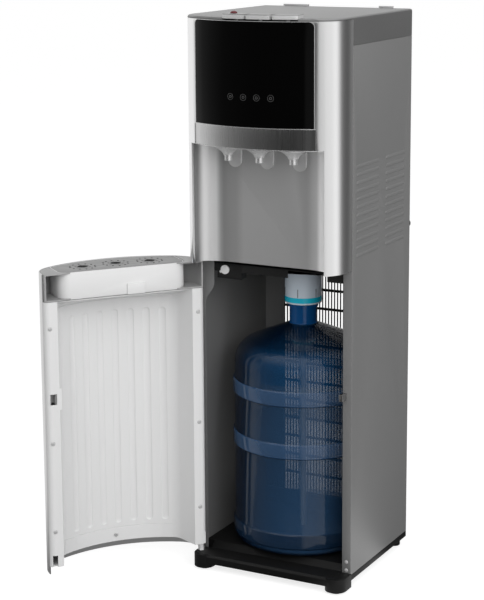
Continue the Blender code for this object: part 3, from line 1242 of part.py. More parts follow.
def make_back(mats):
    side = HALF_WIDTH - BACK_MARGIN
    low = DECK_BOTTOM
    top = FASCIA_TOP
    tabs = CABINET_HEIGHT + REAR_TAB_HEIGHT
    left_a = -REAR_TAB_LEFT - REAR_TAB_LEFT_WIDTH / 2
    right_a = REAR_TAB_RIGHT - REAR_TAB_RIGHT_WIDTH / 2
    outline = [(-side, low), (side, low), (side, top), (right_a + REAR_TAB_RIGHT_WIDTH, top),
               (right_a + REAR_TAB_RIGHT_WIDTH, tabs), (right_a, tabs), (right_a, top),
               (left_a + REAR_TAB_LEFT_WIDTH, top), (left_a + REAR_TAB_LEFT_WIDTH, tabs), (left_a, tabs),
               (left_a, top), (-side, top)]
    near = HALF_DEPTH + GAP
    far = near + BACK_THICKNESS
    back = piece("back_panel", prism(outline, near, far, "Y"), mats["steel"])
    folds = []
    for left, width in ((left_a, REAR_TAB_LEFT_WIDTH), (right_a, REAR_TAB_RIGHT_WIDTH)):
        folds.append(((left, near - REAR_TAB_FOLD, CABINET_HEIGHT + GAP), (left + width, near + GAP, tabs)))
    join(back, boxes(folds))
    places = rear_places()
    holes = []
    for name in ("heater", "cooler"):
        x, z = places[name]
        w, h = SWITCH_WIDTH / 2 + GAP, SWITCH_HEIGHT / 2 + GAP
        holes.append(((x - w, near - OVERRUN, z - h), (x + w, far + OVERRUN, z + h)))
    x, z = places["inlet"]
    w, h = INLET_WIDTH / 2 + GAP, INLET_HEIGHT / 2 + GAP
    holes.append(((x - w, near - OVERRUN, z - h), (x + w, far + OVERRUN, z + h)))
    cut(back, boxes(holes))
    drain_x = HALF_WIDTH - DRAIN_FROM_SIDE
    drain_z = FASCIA_BOTTOM + DRAIN_HEIGHT
    for sheet in (back, bpy.data.objects["side_panel_right"]):
        cut(sheet, rod((drain_x, 0.0, drain_z), DRAIN_RADIUS + GAP, near - OVERRUN, far + OVERRUN, "Y"))
    for name in ("heater", "cooler"):
        make_switch(mats, name, places[name], far)
    make_inlet(mats, places["inlet"], far)
    make_drain(mats, (drain_x, drain_z), far)


def make_switch(mats, name, place, face):
    """A rocker switch: a bezel clipped in the back panel, and the rocker that turns in it."""
    x, z = place
    w, h = SWITCH_WIDTH / 2, SWITCH_HEIGHT / 2
    shell = box((x - w, face - SWITCH_DEPTH, z - h), (x + w, face + GAP, z + h))
    bezel = piece(name + "_bezel", shell, mats["base"])
    rim = SWITCH_FLANGE
    join(bezel, box((x - w - rim, face + GAP, z - h - rim), (x + w + rim, face + GAP + rim, z + h + rim)))
    t = SWITCH_WALL
    hollow = face - SWITCH_DEPTH + t
    cut(bezel, box((x - w + t, hollow, z - h + t), (x + w - t, face + OVERRUN, z + h - t)))
    radius = h - t - RUNNING_CLEARANCE
    sunk = radius * SWITCH_SINK_SHARE
    ridge = sunk + SWITCH_FLANGE
    pivot_y = face - sunk
    reach = math.sqrt(max(radius ** 2 - ridge ** 2, (radius / 2) ** 2))
    turn = math.radians(ROCKER_TILT)
    pivot(name + "_rocker_pivot", (x, pivot_y, z))
    half = w - t - RUNNING_CLEARANCE
    view = [(ridge - SWITCH_FLANGE / 2, 0.0), (ridge, reach), (0.0, radius)]
    view += arc((0.0, 0.0), radius, 90, 270, CORNER_STEPS)[1:-1] + [(0.0, -radius), (ridge, -reach)]
    mesh = prism(view, -half, half, "X")
    mesh.transform(Matrix.Rotation(turn, 4, "X"))
    mesh.transform(Matrix.Translation((x, pivot_y, z)))
    colour = "red" if name == "heater" else "base"
    piece(name + "_switch", mesh, mats[colour], name + "_rocker_pivot")


def make_inlet(mats, place, face):
    x, z = place
    w, h = INLET_WIDTH / 2, INLET_HEIGHT / 2
    t = INLET_WALL
    floor = face - INLET_DEPTH
    inlet = piece("power_inlet", box((x - w, floor, z - h), (x + w, face + GAP, z + h)), mats["base"])
    join(inlet, box((x - w - t, face + GAP, z - h - t), (x + w + t, face + GAP + t, z + h + t)))
    cut(inlet, box((x - w + t, floor + t, z - h + t), (x + w - t, face + OVERRUN, z + h - t)))


def make_drain(mats, place, face):
    x, z = place
    flange = face + GAP
    inner = flange - DRAIN_INSIDE
    outer = flange + DRAIN_STUB
    spout = piece("drain_spout", rod((x, 0.0, z), DRAIN_RADIUS, inner, outer, "Y"), mats["base"])
    join(spout, rod((x, 0.0, z), DRAIN_FLANGE_RADIUS, flange, flange + DRAIN_FLANGE, "Y"))
    cut(spout, rod((x, 0.0, z), DRAIN_BORE, inner - OVERRUN, outer + OVERRUN, "Y"))
    low = flange + DRAIN_FLANGE + GAP
    high = outer + GAP + DRAIN_PLUG_WALL
    on = "drain_plug_guide"
    pivot(on, (x, high, z))
    cover = rod((x, 0.0, z), DRAIN_RADIUS + GAP + DRAIN_PLUG_WALL, low, high, "Y")
    plug = piece("drain_plug", cover, mats["rubber"], on)
    cut(plug, rod((x, 0.0, z), DRAIN_RADIUS + GAP, low - OVERRUN, high - DRAIN_PLUG_WALL, "Y"), on)


def condenser_points():
    """The serpentine, from its lowest run to its highest."""
    y = condenser_y()
    points = []
    half = CONDENSER_HALF
    r = CONDENSER_PITCH / 2
    for run in range(CONDENSER_RUNS):
        z = CONDENSER_LOW + run * CONDENSER_PITCH
        side = 1 if run % 2 == 0 else -1
        points.append((-half * side, y, z))
        points.append((half * side, y, z))
        if run < CONDENSER_RUNS - 1:
            for k in (1, 2):
                turn = -math.pi / 2 + math.pi * k / 3
                points.append((side * (half + r * math.cos(turn)), y, z + r + r * math.sin(turn)))
    return points


def condenser_y():
    return BACK_FACE + GAP + SHEET + GAP + CONDENSER_TUBE


def make_condenser(mats):
    """The tube, and the wires welded along it, which stand off the panel on four feet between the runs."""
    tube("condenser_tube", condenser_points(), CONDENSER_TUBE, mats["wire"], 0)
    low = CONDENSER_LOW - WIRE_FOOT
    high = CONDENSER_LOW + (CONDENSER_RUNS - 1) * CONDENSER_PITCH + WIRE_OVERHANG
    near = condenser_y() + CONDENSER_TUBE + GAP
    far = near + CONDENSER_SHEET
    half = CONDENSER_HALF - CONDENSER_WIRE_PITCH / 2
    wires = piece("condenser_wires", box((-half, near, low), (half, far, high)), mats["wire"])
    count = round(2 * half / CONDENSER_WIRE_PITCH)
    pitch = (2 * half - CONDENSER_WIRE) / count
    slots = []
    for i in range(count):
        left = -half + CONDENSER_WIRE + i * pitch
        right = left + pitch - CONDENSER_WIRE
        slots.append(((left, near - SHEET, low + FOOT_HEIGHT),
                      (right, far + SHEET, high - FOOT_HEIGHT)))
    cut(wires, boxes(slots))
    feet = []
    for z in (high - FOOT_HEIGHT, CONDENSER_LOW + CONDENSER_HOLD * CONDENSER_PITCH + CONDENSER_PITCH / 2):
        for side in (-1, 1):
            middle = side * (half - FOOT_WIDTH)
            feet.append(((middle - FOOT_WIDTH / 2, BACK_FACE + GAP, z),
                         (middle + FOOT_WIDTH / 2, near + CONDENSER_SHEET / 2, z + FOOT_HEIGHT)))
    join(wires, boxes(feet))


def main():
    clear_scene()
    mats = materials()
    make_base(mats)
    make_side_panels(mats)
    make_top_cover(mats)
    make_fascia(mats)
    make_recess(mats)
    make_taps(mats)
    make_keys(mats)
    make_bay(mats)
    make_bottle(mats)
    make_upper_hinge(mats)
    make_door(mats)
    make_tray(mats)
    make_inside(mats)
    make_back(mats)
    make_condenser(mats)


main()
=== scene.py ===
# %% [markdown]
# # A bottom-loading water dispenser
# A steel cabinet with a bowed front, a black control panel, three taps over a recess, and an open door that
# shows a blue bottle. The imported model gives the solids. This script adds soft edges, finishes, small parts
# and light.

# %% Load the solids
import math
import json

import bmesh
import bpy
from mathutils import Matrix, Vector

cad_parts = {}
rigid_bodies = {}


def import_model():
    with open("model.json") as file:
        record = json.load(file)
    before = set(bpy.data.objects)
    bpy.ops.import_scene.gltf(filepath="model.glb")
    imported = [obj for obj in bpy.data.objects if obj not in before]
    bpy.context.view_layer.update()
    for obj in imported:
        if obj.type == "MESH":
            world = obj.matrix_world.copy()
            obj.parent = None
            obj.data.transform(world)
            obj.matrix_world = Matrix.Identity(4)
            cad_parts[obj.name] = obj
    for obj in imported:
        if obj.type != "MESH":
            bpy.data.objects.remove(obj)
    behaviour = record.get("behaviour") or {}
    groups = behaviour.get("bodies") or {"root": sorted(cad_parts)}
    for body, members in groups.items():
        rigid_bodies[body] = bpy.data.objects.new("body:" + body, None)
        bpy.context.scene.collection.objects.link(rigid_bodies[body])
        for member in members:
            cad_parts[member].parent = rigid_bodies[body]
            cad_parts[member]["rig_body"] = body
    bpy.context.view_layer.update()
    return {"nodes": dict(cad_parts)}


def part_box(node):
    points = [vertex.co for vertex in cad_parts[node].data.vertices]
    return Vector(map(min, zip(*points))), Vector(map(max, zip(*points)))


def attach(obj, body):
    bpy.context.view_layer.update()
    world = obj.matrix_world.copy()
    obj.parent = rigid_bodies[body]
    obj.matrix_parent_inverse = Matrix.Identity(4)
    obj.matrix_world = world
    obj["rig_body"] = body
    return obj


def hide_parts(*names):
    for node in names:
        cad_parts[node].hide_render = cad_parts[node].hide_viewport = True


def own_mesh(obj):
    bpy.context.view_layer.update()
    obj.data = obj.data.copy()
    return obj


for item in list(bpy.data.objects):
    bpy.data.objects.remove(item, do_unlink=True)
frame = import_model()
NODES = frame["nodes"]
SCENE = bpy.context.scene
print("loaded", len(NODES), "solids")

# %% [markdown]
# ## The camera
# The view is from the front right and a little above. The camera's place, direction and focal length in
# pixels come from a fit to edges measured in the photograph, with the cabinet's sizes held. The axis above
# the picture's middle was chosen, and a small shift gives it.

# %% The camera
PICTURE_HEIGHT = 600
FOCAL_PIXELS = 1734.8
AXIS_ABOVE_MIDDLE = 60
SENSOR = 36.0
CAMERA_PLACE = Vector((1.40697, -2.89326, 1.24047))
CAMERA_AZIMUTH = 0.49037
CAMERA_ELEVATION = 0.19047
CAMERA_ROLL = -0.006485
FARTHEST = 200.0

back = Vector((math.sin(CAMERA_AZIMUTH) * math.cos(CAMERA_ELEVATION),
               -math.cos(CAMERA_AZIMUTH) * math.cos(CAMERA_ELEVATION), math.sin(CAMERA_ELEVATION)))
across = Vector((math.cos(CAMERA_AZIMUTH), math.sin(CAMERA_AZIMUTH), 0.0))
upward = back.cross(across)
right = across * math.cos(CAMERA_ROLL) + upward * math.sin(CAMERA_ROLL)
top = upward * math.cos(CAMERA_ROLL) - across * math.sin(CAMERA_ROLL)
lens = bpy.data.cameras.new("camera")
lens.sensor_fit = "VERTICAL"
lens.sensor_height = SENSOR
lens.lens = SENSOR * FOCAL_PIXELS / PICTURE_HEIGHT
lens.shift_y = -AXIS_ABOVE_MIDDLE / PICTURE_HEIGHT
lens.clip_end = FARTHEST
camera = bpy.data.objects.new("camera", lens)
SCENE.collection.objects.link(camera)
turn = Matrix((right, top, back)).transposed()
camera.matrix_world = Matrix.Translation(CAMERA_PLACE) @ turn.to_4x4()
SCENE.camera = camera
print("lens", round(lens.lens, 1), "mm")

# %% [markdown]
# ## Sums with nodes
# A finish is a small sum, such as noise times an amount, plus a base. One class wraps a socket, so that
# Python's own signs add Math nodes, and a second one adds any other node. Settings come first, because they
# decide which sockets a node has.


# %% Sockets that add and multiply
class Wire:
    """One output of a node. A sum on it adds its Math nodes to the same tree."""

    def __init__(self, net, socket):
        self.net = net
        self.socket = socket

    def math(self, operation, *values):
        return self.net.node("ShaderNodeMath", {"operation": operation}, dict(enumerate(values)))

    def __add__(self, other):
        return self.math("ADD", self, other)

    def __sub__(self, other):
        return self.math("SUBTRACT", self, other)

    def __rsub__(self, other):
        return self.math("SUBTRACT", other, self)

    def __mul__(self, other):
        return self.math("MULTIPLY", self, other)

    def __truediv__(self, other):
        return self.math("DIVIDE", self, other)

    def above(self, level):
        return self.math("GREATER_THAN", self, level)


class Net:
    """A node tree that nodes are added to."""

    def __init__(self, tree):
        self.tree = tree

    def node(self, kind, settings, inputs, output=0):
        made = self.tree.nodes.new(kind)
        for name, value in settings.items():
            if name == "stops":
                self.set_stops(made.color_ramp, value)
            else:
                setattr(made, name, value)
        for key, value in inputs.items():
            if isinstance(value, Wire):
                self.tree.links.new(value.socket, made.inputs[key])
            else:
                made.inputs[key].default_value = value
        return Wire(self, made.outputs[output])

    def add(self, kind, inputs, output=0):
        return self.node(kind, {}, inputs, output)

    def set_stops(self, ramp, stops):
        while len(ramp.elements) < len(stops):
            ramp.elements.new(1.0)
        for element, (place, colour) in zip(ramp.elements, stops):
            element.position = place
            element.color = colour

    def vector(self, x=0.0, y=0.0, z=0.0):
        return self.add("ShaderNodeCombineXYZ", {"X": x, "Y": y, "Z": z})

    def part(self, vector, axis):
        return self.add("ShaderNodeSeparateXYZ", {"Vector": vector}, output=axis)

    def circle(self, steps, radius):
        return self.node("GeometryNodeCurvePrimitiveCircle", {"mode": "RADIUS"},
                         {"Resolution": steps, "Radius": radius})

    def swept(self, curve, section, caps=True):
        return self.add("GeometryNodeCurveToMesh",
                        {"Curve": curve, "Profile Curve": section, "Fill Caps": caps})

    def ray(self, kind):
        return self.add("ShaderNodeLightPath", {}, output="Is " + kind + " Ray")

    def mirrored(self):
        """1 for a ray that left a glossy or a clear face."""
        both = self.ray("Glossy") + self.ray("Transmission")
        return both.math("MINIMUM", both, 1.0)

    def changed(self, shape, kind, value):
        """The shape moved, turned or scaled, as kind says."""
        return self.add("GeometryNodeTransform", {"Geometry": shape, kind: value})

    def blend(self, factor, first, second):
        """A colour between two colours."""
        return self.node("ShaderNodeMix", {"data_type": "RGBA"}, {0: factor, 6: first, 7: second}, output=2)


# %% [markdown]
# ## Finishes
# Each finish starts from one grey or one hue, drifts a little over the piece, and has its own grain in the
# roughness and in the bump: the orange peel of paint, the spark of moulded plastic, or the scratches of a
# brushed face.

# %% Helpers for finishes
DRIFT_SCALE = 3.5
DRIFT_AMOUNT = 0.05
DOOR_TURN = math.radians(-128.58)
HINGE = Vector((-0.149, -0.1525, 0.0))


def coordinates(net, turned=0.0):
    """The place on the piece, in metres, turned about the upright axis where the piece stands turned."""
    place = net.add("ShaderNodeTexCoord", {}, output="Object")
    if turned:
        place = net.node("ShaderNodeMapping", {"vector_type": "POINT"},
                         {"Vector": place, "Rotation": (0.0, 0.0, -turned)})
    return place


def noise(net, place, scale, stretch=(1.0, 1.0, 1.0), detail=2.0):
    """Noise from 0 to 1, drawn out along the axes whose stretch is small."""
    where = net.node("ShaderNodeVectorMath", {"operation": "MULTIPLY"}, {0: place, 1: stretch})
    return net.add("ShaderNodeTexNoise", {"Vector": where, "Scale": scale, "Detail": detail},
                   output="Fac")


def shade(colour, amount):
    """The colour made lighter or darker by a share."""
    return (*[min(part * (1.0 + amount), 1.0) for part in colour[:3]], 1.0)


def finish(name, colour, rough, metal=0.0, grain=900.0, stretch=(1.0, 1.0, 1.0), bump=0.00003, spread=0.08,
           drift=DRIFT_AMOUNT, turned=0.0, coat=0.0, specular=0.5, alpha=1.0, extra=None):
    """A finish with drift in its colour, and grain in its roughness and its bump."""
    made = bpy.data.materials.new(name)
    made.use_nodes = True
    net = Net(made.node_tree)
    shader = made.node_tree.nodes["Principled BSDF"]
    place = coordinates(net, turned)
    fine = noise(net, place, grain, stretch)
    broad = noise(net, place, DRIFT_SCALE, (1.0, 1.0, 1.0), 3.0)
    tone = net.blend(broad, shade(colour, -drift), shade(colour, drift))
    links = {"Base Color": tone, "Roughness": (fine - 0.5) * spread + rough}
    if extra is not None:
        links.update(extra(net, place, links))
    links["Normal"] = net.add("ShaderNodeBump", {"Height": fine, "Distance": bump, "Strength": 1.0})
    for key, wire in links.items():
        made.node_tree.links.new(wire.socket, shader.inputs[key])
    shader.inputs["Metallic"].default_value = metal
    shader.inputs["Coat Weight"].default_value = coat
    shader.inputs["Specular IOR Level"].default_value = specular
    if "Alpha" not in links:
        shader.inputs["Alpha"].default_value = alpha
    made.diffuse_color = (*colour[:3], alpha)
    return made


def grey(level):
    """A neutral colour from a level between 0 and 255, as a picture holds it."""
    share = level / 255.0
    return (((share + 0.055) / 1.055) ** 2.4,) * 3


def hue(red, green, blue):
    return tuple(grey(level)[0] for level in (red, green, blue))


def opaque(colour):
    return (*colour, 1.0)


def parted(level, below, above):
    """Two tones that meet at a height. None stands for the finish's own tone."""
    def extra(net, place, links):
        own = links["Base Color"]
        return {"Base Color": net.blend(net.part(place, "Z").above(level), below or own, above or own)}
    return extra


# %% [markdown]
# ### The plain finishes
# The sides are sheet steel with a satin coat. The pillars and the door's outside are plastic sprayed
# silver. The door's inside is white plastic, pale grey in shadow, and the base is black plastic.

# %% Paints and plastics
SKIRT_TOP = 1.0475
KEY_CROWN = 0.0014
KEY_TOP_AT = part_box("key_hot")[1].z - KEY_CROWN
TABS_AT = 1.048
TONE_REACH = 0.133
# Painted highlights: the tones across the recess are lighter where its curved corners show reflections.
RECESS_PAINTED_LIGHT_TONES = (
    (-0.1315, 138), (-0.1235, 228), (-0.1115, 255), (-0.1040, 255), (-0.0960, 190), (-0.0900, 166),
    (-0.0650, 172), (-0.0500, 190), (0.0780, 190), (0.0900, 206), (0.0980, 212), (0.1060, 255))
GUARD_PITCH = 0.065
GUARD_HIGHLIGHT_FROM = 0.185
GUARD_HIGHLIGHT_TO = 0.225
GUARD_FRONT = -0.1600
GUARD_LOW = 0.760
GUARD_REACH = 0.085
GUARDS_SHIFT = 4.0
GUARD_TONE = 216
# Painted shade: the cover's upright skirt below SKIRT_TOP is darker grey, as it gets less light than the top.
skirt_painted_shade = parted(SKIRT_TOP, opaque(grey(112)), None)
pale_front = parted(KEY_TOP_AT, opaque(grey(214)), None)
pale_tabs = parted(TABS_AT, None, opaque(grey(205)))


def recess_painted_highlights(net, place, links):
    """Painted highlights: the recess is lighter on its left and at its right edge, where its wall curves
    towards the front.
    """
    x = net.part(place, "X")
    y = net.part(place, "Y")
    height = net.part(place, "Z")
    stops = [(0.5 + at / TONE_REACH / 2.0, opaque(grey(level))) for at, level in RECESS_PAINTED_LIGHT_TONES]
    tone = net.node("ShaderNodeValToRGB", {"stops": stops}, {"Fac": x / TONE_REACH / 2.0 + 0.5},
                    output="Color")
    guard = (1.0 - y.above(GUARD_FRONT)) * height.above(GUARD_LOW) * (1.0 - (x * x).above(GUARD_REACH ** 2))
    # Painted highlight: a white band along one edge of each pale grey guard plate.
    share = x / GUARD_PITCH + GUARDS_SHIFT
    share = share.math("FRACT", share)
    edge = share.above(GUARD_HIGHLIGHT_FROM) * (1.0 - share.above(GUARD_HIGHLIGHT_TO))
    face = net.blend(edge, opaque(grey(GUARD_TONE)), (1.0, 1.0, 1.0, 1.0))
    return {"Base Color": net.blend(guard, tone, face)}


SPRAY = {"grain": 1600.0, "spread": 0.12, "bump": 0.00002, "drift": 0.03}
SATIN = {"grain": 1500.0, "spread": 0.1, "drift": 0.03}
RIM = {"grain": 1300.0, "spread": 0.1, "drift": 0.03, "turned": DOOR_TURN}
side_paint = finish("side_paint", grey(136), 0.45, 0.3, grain=700.0, bump=0.00004)
rear_paint = finish("rear_paint", grey(122), 0.55, 0.3, grain=500.0, bump=0.00006, extra=pale_tabs)
silver = finish("silver_spray", grey(236), 0.30, 1.0, **SPRAY)
# Painted shade: the door's outside uses a darker copy of the same silver spray as the pillars.
silver_door_shaded = finish("silver_spray_door_shaded", grey(205), 0.32, 1.0, turned=DOOR_TURN, **SPRAY)
cover_plastic = finish("cover_plastic", grey(142), 0.42, 0.3, grain=1300.0, spread=0.1, extra=skirt_painted_shade)
recess_plastic = finish("recess_plastic", grey(190), 0.34, 0.5, extra=recess_painted_highlights, **SATIN)
tap_plastic = finish("tap_plastic", grey(190), 0.34, 0.5, **SATIN)
gloss_black = finish("gloss_black", grey(3), 0.10, 0.0, grain=40.0, spread=0.02, bump=0.000004, specular=0.07)
base_plastic = finish("base_plastic", grey(18), 0.5, 0.0, grain=1100.0, spread=0.15, specular=0.25)
bay_plastic = finish("bay_plastic", grey(30), 0.5, 0.0, grain=1100.0, spread=0.1, specular=0.35)
rubber = finish("foot_rubber_finish", grey(20), 0.8, 0.0, grain=600.0, spread=0.1, bump=0.0001)
liner_plastic = finish("liner_plastic", grey(226), 0.42, 0.0, grain=1300.0, spread=0.1, drift=0.02,
                       turned=DOOR_TURN)
key_plastic = finish("key_plastic", grey(150), 0.34, 0.3, grain=1300.0, spread=0.1, extra=pale_front)
rim_plastic = finish("rim_plastic", grey(160), 0.40, 0.15, **RIM)
grille_plastic = finish("grille_plastic", grey(138), 0.40, 0.15, **RIM)
pale_screw = finish("pale_screw", grey(206), 0.30, 0.35, grain=500.0)
white_plastic = finish("white_plastic", grey(228), 0.35, 0.0, grain=1200.0)
zinc = finish("zinc", grey(190), 0.30, 1.0, grain=500.0, spread=0.2, bump=0.00003)
red_plastic = finish("red_plastic", hue(92, 6, 18), 0.22, 0.0, grain=900.0, coat=0.3)
tube_plastic = finish("tube_plastic", hue(205, 214, 220), 0.3, 0.0, grain=500.0)
foam = finish("foam", grey(215), 0.9, 0.0, grain=260.0, spread=0.05, bump=0.0004)
enamel = finish("black_enamel", grey(34), 0.36, 0.2, grain=500.0, spread=0.15)
wire_enamel = finish("wire_enamel", grey(84), 0.38, 0.3, grain=500.0, spread=0.15)
lacquer = finish("board_lacquer", hue(30, 92, 56), 0.35, 0.0, grain=120.0)
galvanised = finish("galvanised_sheet", grey(150), 0.42, 0.8, grain=60.0, spread=0.3)
pale_print = finish("pale_print", grey(74), 0.4, 0.0, grain=900.0)
trim_silver = finish("trim_silver", grey(205), 0.25, 0.9, grain=900.0)
shadow_black = finish("shadow_black", grey(8), 0.7, 0.0, grain=900.0, specular=0.1)
print(len(bpy.data.materials), "finishes")

# %% [markdown]
# ### The brushed strip
# The strip under the panel is brushed up and down. Its noise is slow along Z and quick along the strip, so
# a highlight breaks up into fine upright lines. Its colour darkens towards its right end: painted shade for
# its dark reflection there.

# %% The brushed strip
STRIP_SHADE_FROM = 0.030
STRIP_SHADE_TO = 0.115
STRIP_SHADE_TONE = 78


def strip_painted_shade(net, place, links):
    x = net.part(place, "X")
    # Painted shade: the colour fades to dark grey towards the strip's right end.
    mask = net.add("ShaderNodeMapRange", {"Value": x, "From Min": STRIP_SHADE_FROM, "From Max": STRIP_SHADE_TO})
    return {"Base Color": net.blend(mask, links["Base Color"], opaque(grey(STRIP_SHADE_TONE)))}


brushed = finish("brushed_strip_finish", grey(198), 0.30, 1.0, grain=900.0, stretch=(1.0, 1.0, 0.012),
                 spread=0.25, bump=0.00004, drift=0.02, extra=strip_painted_shade)

# %% [markdown]
# ### Clear blue plastic
# The bottle is clear plastic with a blue tint. Along its wall there is more of it to look through, so a
# Layer Weight node makes faces that turn away cover more. The colour also changes with the facing and with
# the height.

# %% The bottle's plastic
CLEAR_CENTRE = 0.48
CLEAR_EDGE = 0.52
BOTTLE_MIDDLE_Y = -0.013
BAND_REACH = 0.1322
NECK_FROM = 0.465
SHOULDER_FROM = 0.372
EDGE_TINT = 1.9
LOWEST_TO = 0.110
FACING_BLEND = 0.45
BAND_COVER = 0.2
NECK_COVER = 0.4
BODY_BLUE = opaque(hue(46, 78, 112))
SHOULDER_BLUE = opaque(hue(24, 70, 110))
LOW_BAND_BLUE = opaque(hue(22, 44, 68))
BAND_BLUE = opaque(hue(56, 84, 118))
NECK_BLUE = opaque(hue(6, 76, 134))


def clear_wall(net, place, links):
    turned_away = net.add("ShaderNodeLayerWeight", {"Blend": FACING_BLEND}, output="Facing")
    x = net.part(place, "X")
    y = net.part(place, "Y") - BOTTLE_MIDDLE_Y
    height = net.part(place, "Z")
    raised = (x * x + y * y).above(BAND_REACH ** 2)
    neck = height.above(NECK_FROM)
    shoulder = height.above(SHOULDER_FROM)
    middle = net.blend(shoulder, BODY_BLUE, SHOULDER_BLUE)
    faced = turned_away.math("MINIMUM", turned_away * EDGE_TINT, 1.0)
    colour = net.blend(faced, middle, links["Base Color"])
    band = net.blend(height.above(LOWEST_TO), LOW_BAND_BLUE, BAND_BLUE)
    colour = net.blend(raised, colour, band)
    colour = net.blend(neck, colour, NECK_BLUE)
    solid = turned_away * CLEAR_EDGE + CLEAR_CENTRE + raised * BAND_COVER + neck * NECK_COVER
    return {"Alpha": solid.math("MINIMUM", solid, 1.0), "Base Color": colour}


bottle_plastic = finish("bottle_plastic", hue(5, 26, 48), 0.10, 0.0, grain=35.0, spread=0.03, bump=0.00012,
                        drift=0.10, extra=clear_wall)
cap_plastic = finish("cap_plastic", hue(226, 238, 250), 0.35, 0.0, grain=300.0, alpha=0.9)
cyan_plastic = finish("cyan_plastic", hue(26, 196, 226), 0.25, 0.0, grain=300.0)

# %% [markdown]
# ### Two tones on one nozzle
# Each nozzle is grey with a short bright tip. A mask from the height changes the colour and the metal.

# %% The nozzles' finish
TIP_TOP = 0.8025
TIP_TONE = 235
TIP_METAL = 0.6
NOZZLE_METAL = 0.15


def bright_tip(net, place, links):
    height = net.part(place, "Z")
    tip = 1.0 - height.above(TIP_TOP)
    return {"Base Color": net.blend(tip, links["Base Color"], opaque(grey(TIP_TONE))),
            "Metallic": tip * TIP_METAL + NOZZLE_METAL}


nozzle_finish = finish("nozzle_finish", grey(214), 0.28, NOZZLE_METAL, grain=900.0, extra=bright_tip)

# %% [markdown]
# ## Light and floor
# A pale floor, a broad soft lamp at the front right beside the camera and a weaker one on the right. Metal
# shows what it reflects, so rays that leave a glossy face see a room that is bright on both sides and dark
# straight ahead.

# %% Lamps and room
ROOM = 0.52
KEY_SIZE = 3.4
KEY_POWER = 62.0
FILL_SIZE = 2.2
FILL_POWER = 36.0
CEILING = 1.15
CEILING_FROM = 0.35
CEILING_TO = 0.85
KEY_PLACE = (1.6, -2.8, 2.4)
FILL_PLACE = (3.0, -1.0, 1.6)


def card(turn, level):
    """A stop of the room: degrees from straight ahead of the cabinet's front, and how bright it is there."""
    return (turn / 360.0 + 0.5, (level, level, level, 1.0))


CARDS = [card(turn, level) for turn, level in (
    (-180, 0.35), (-150, 0.95), (-78, 1.0), (-64, 0.6), (-50, 0.26), (-20, 0.09), (22, 0.05), (26, 0.70),
    (42, 0.68), (55, 0.88), (78, 0.86), (90, 1.12), (100, 1.06), (115, 0.12), (155, 0.08), (180, 0.35))]


def lamp(name, place, aim, size, power):
    light = bpy.data.lights.new(name, "AREA")
    light.shape = "RECTANGLE"
    light.size = size
    light.size_y = size
    light.energy = power
    made = bpy.data.objects.new(name, light)
    SCENE.collection.objects.link(made)
    made.location = place
    made.visible_glossy = False
    made.rotation_euler = (Vector(aim) - Vector(place)).to_track_quat("-Z", "Y").to_euler()


MIDDLE = (0.0, 0.0, 0.55)
lamp("key", KEY_PLACE, MIDDLE, KEY_SIZE, KEY_POWER)
lamp("fill", FILL_PLACE, MIDDLE, FILL_SIZE, FILL_POWER)

world = bpy.data.worlds.new("studio")
SCENE.world = world
world.use_nodes = True
net = Net(world.node_tree)
background = world.node_tree.nodes["Background"]


def room_at(net, x, y):
    """How bright the room is in the direction x, y from the cabinet."""
    round_room = x.math("ARCTAN2", x, y * -1.0) / math.tau + 0.5
    cards = net.node("ShaderNodeValToRGB", {"stops": CARDS}, {"Fac": round_room}, output="Color")
    return net.add("ShaderNodeRGBToBW", {"Color": cards})


direction = net.add("ShaderNodeTexCoord", {}, output="Generated")
overhead = net.node("ShaderNodeMapRange", {"interpolation_type": "SMOOTHSTEP"},
                    {"Value": net.part(direction, "Z"), "From Min": CEILING_FROM,
                     "From Max": CEILING_TO, "To Min": 0.0, "To Max": 1.0})
walls = room_at(net, net.part(direction, "X"), net.part(direction, "Y"))
room_level = walls * (1.0 - overhead) + overhead * CEILING
path = net.ray("Camera")
plain = 1.0 - net.mirrored()
level = plain * ROOM + (1.0 - plain) * room_level
strength = path + (1.0 - path) * level
world.node_tree.links.new(strength.socket, background.inputs["Strength"])
background.inputs["Color"].default_value = (1.0, 1.0, 1.0, 1.0)
SCENE.view_settings.view_transform = "Standard"

# %% The floor
FLOOR_REACH = 40.0
FLOOR_GLOW = 0.77
FLOOR_TONE = 0.44
FLOOR_SIDES = 64

floor_finish = bpy.data.materials.new("floor_finish")
floor_finish.use_nodes = True
net = Net(floor_finish.node_tree)
paper = net.add("ShaderNodeBsdfDiffuse", {"Color": (FLOOR_TONE, FLOOR_TONE, FLOOR_TONE, 1.0)})
glow = net.add("ShaderNodeEmission", {"Color": (1.0, 1.0, 1.0, 1.0), "Strength": FLOOR_GLOW})
both = net.add("ShaderNodeAddShader", {0: paper, 1: glow})
spot = net.add("ShaderNodeTexCoord", {}, output="Object")
sheen = net.add("ShaderNodeEmission",
                {"Strength": room_at(net, net.part(spot, "X"), net.part(spot, "Y"))})
shown = net.add("ShaderNodeMixShader", {0: net.ray("Camera"), 1: paper, 2: both})
shown = net.add("ShaderNodeMixShader", {0: net.mirrored(), 1: shown, 2: sheen})
leave = net.tree.nodes["Material Output"]
net.tree.links.new(shown.socket, leave.inputs["Surface"])
form = bmesh.new()
bmesh.ops.create_circle(form, cap_ends=True, segments=FLOOR_SIDES, radius=FLOOR_REACH)
floor_mesh = bpy.data.meshes.new("floor")
form.to_mesh(floor_mesh)
form.free()
floor_mesh.materials.append(floor_finish)
floor = bpy.data.objects.new("studio_floor", floor_mesh)
SCENE.collection.objects.link(floor)

# %% [markdown]
# ## Soft edges on every solid
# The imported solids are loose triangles. Each is copied, its points are merged, its flat triangles are
# joined, and a narrow bevel rounds its sharp edges. Curved faces are smooth, and edges over 32 degrees stay
# crisp.

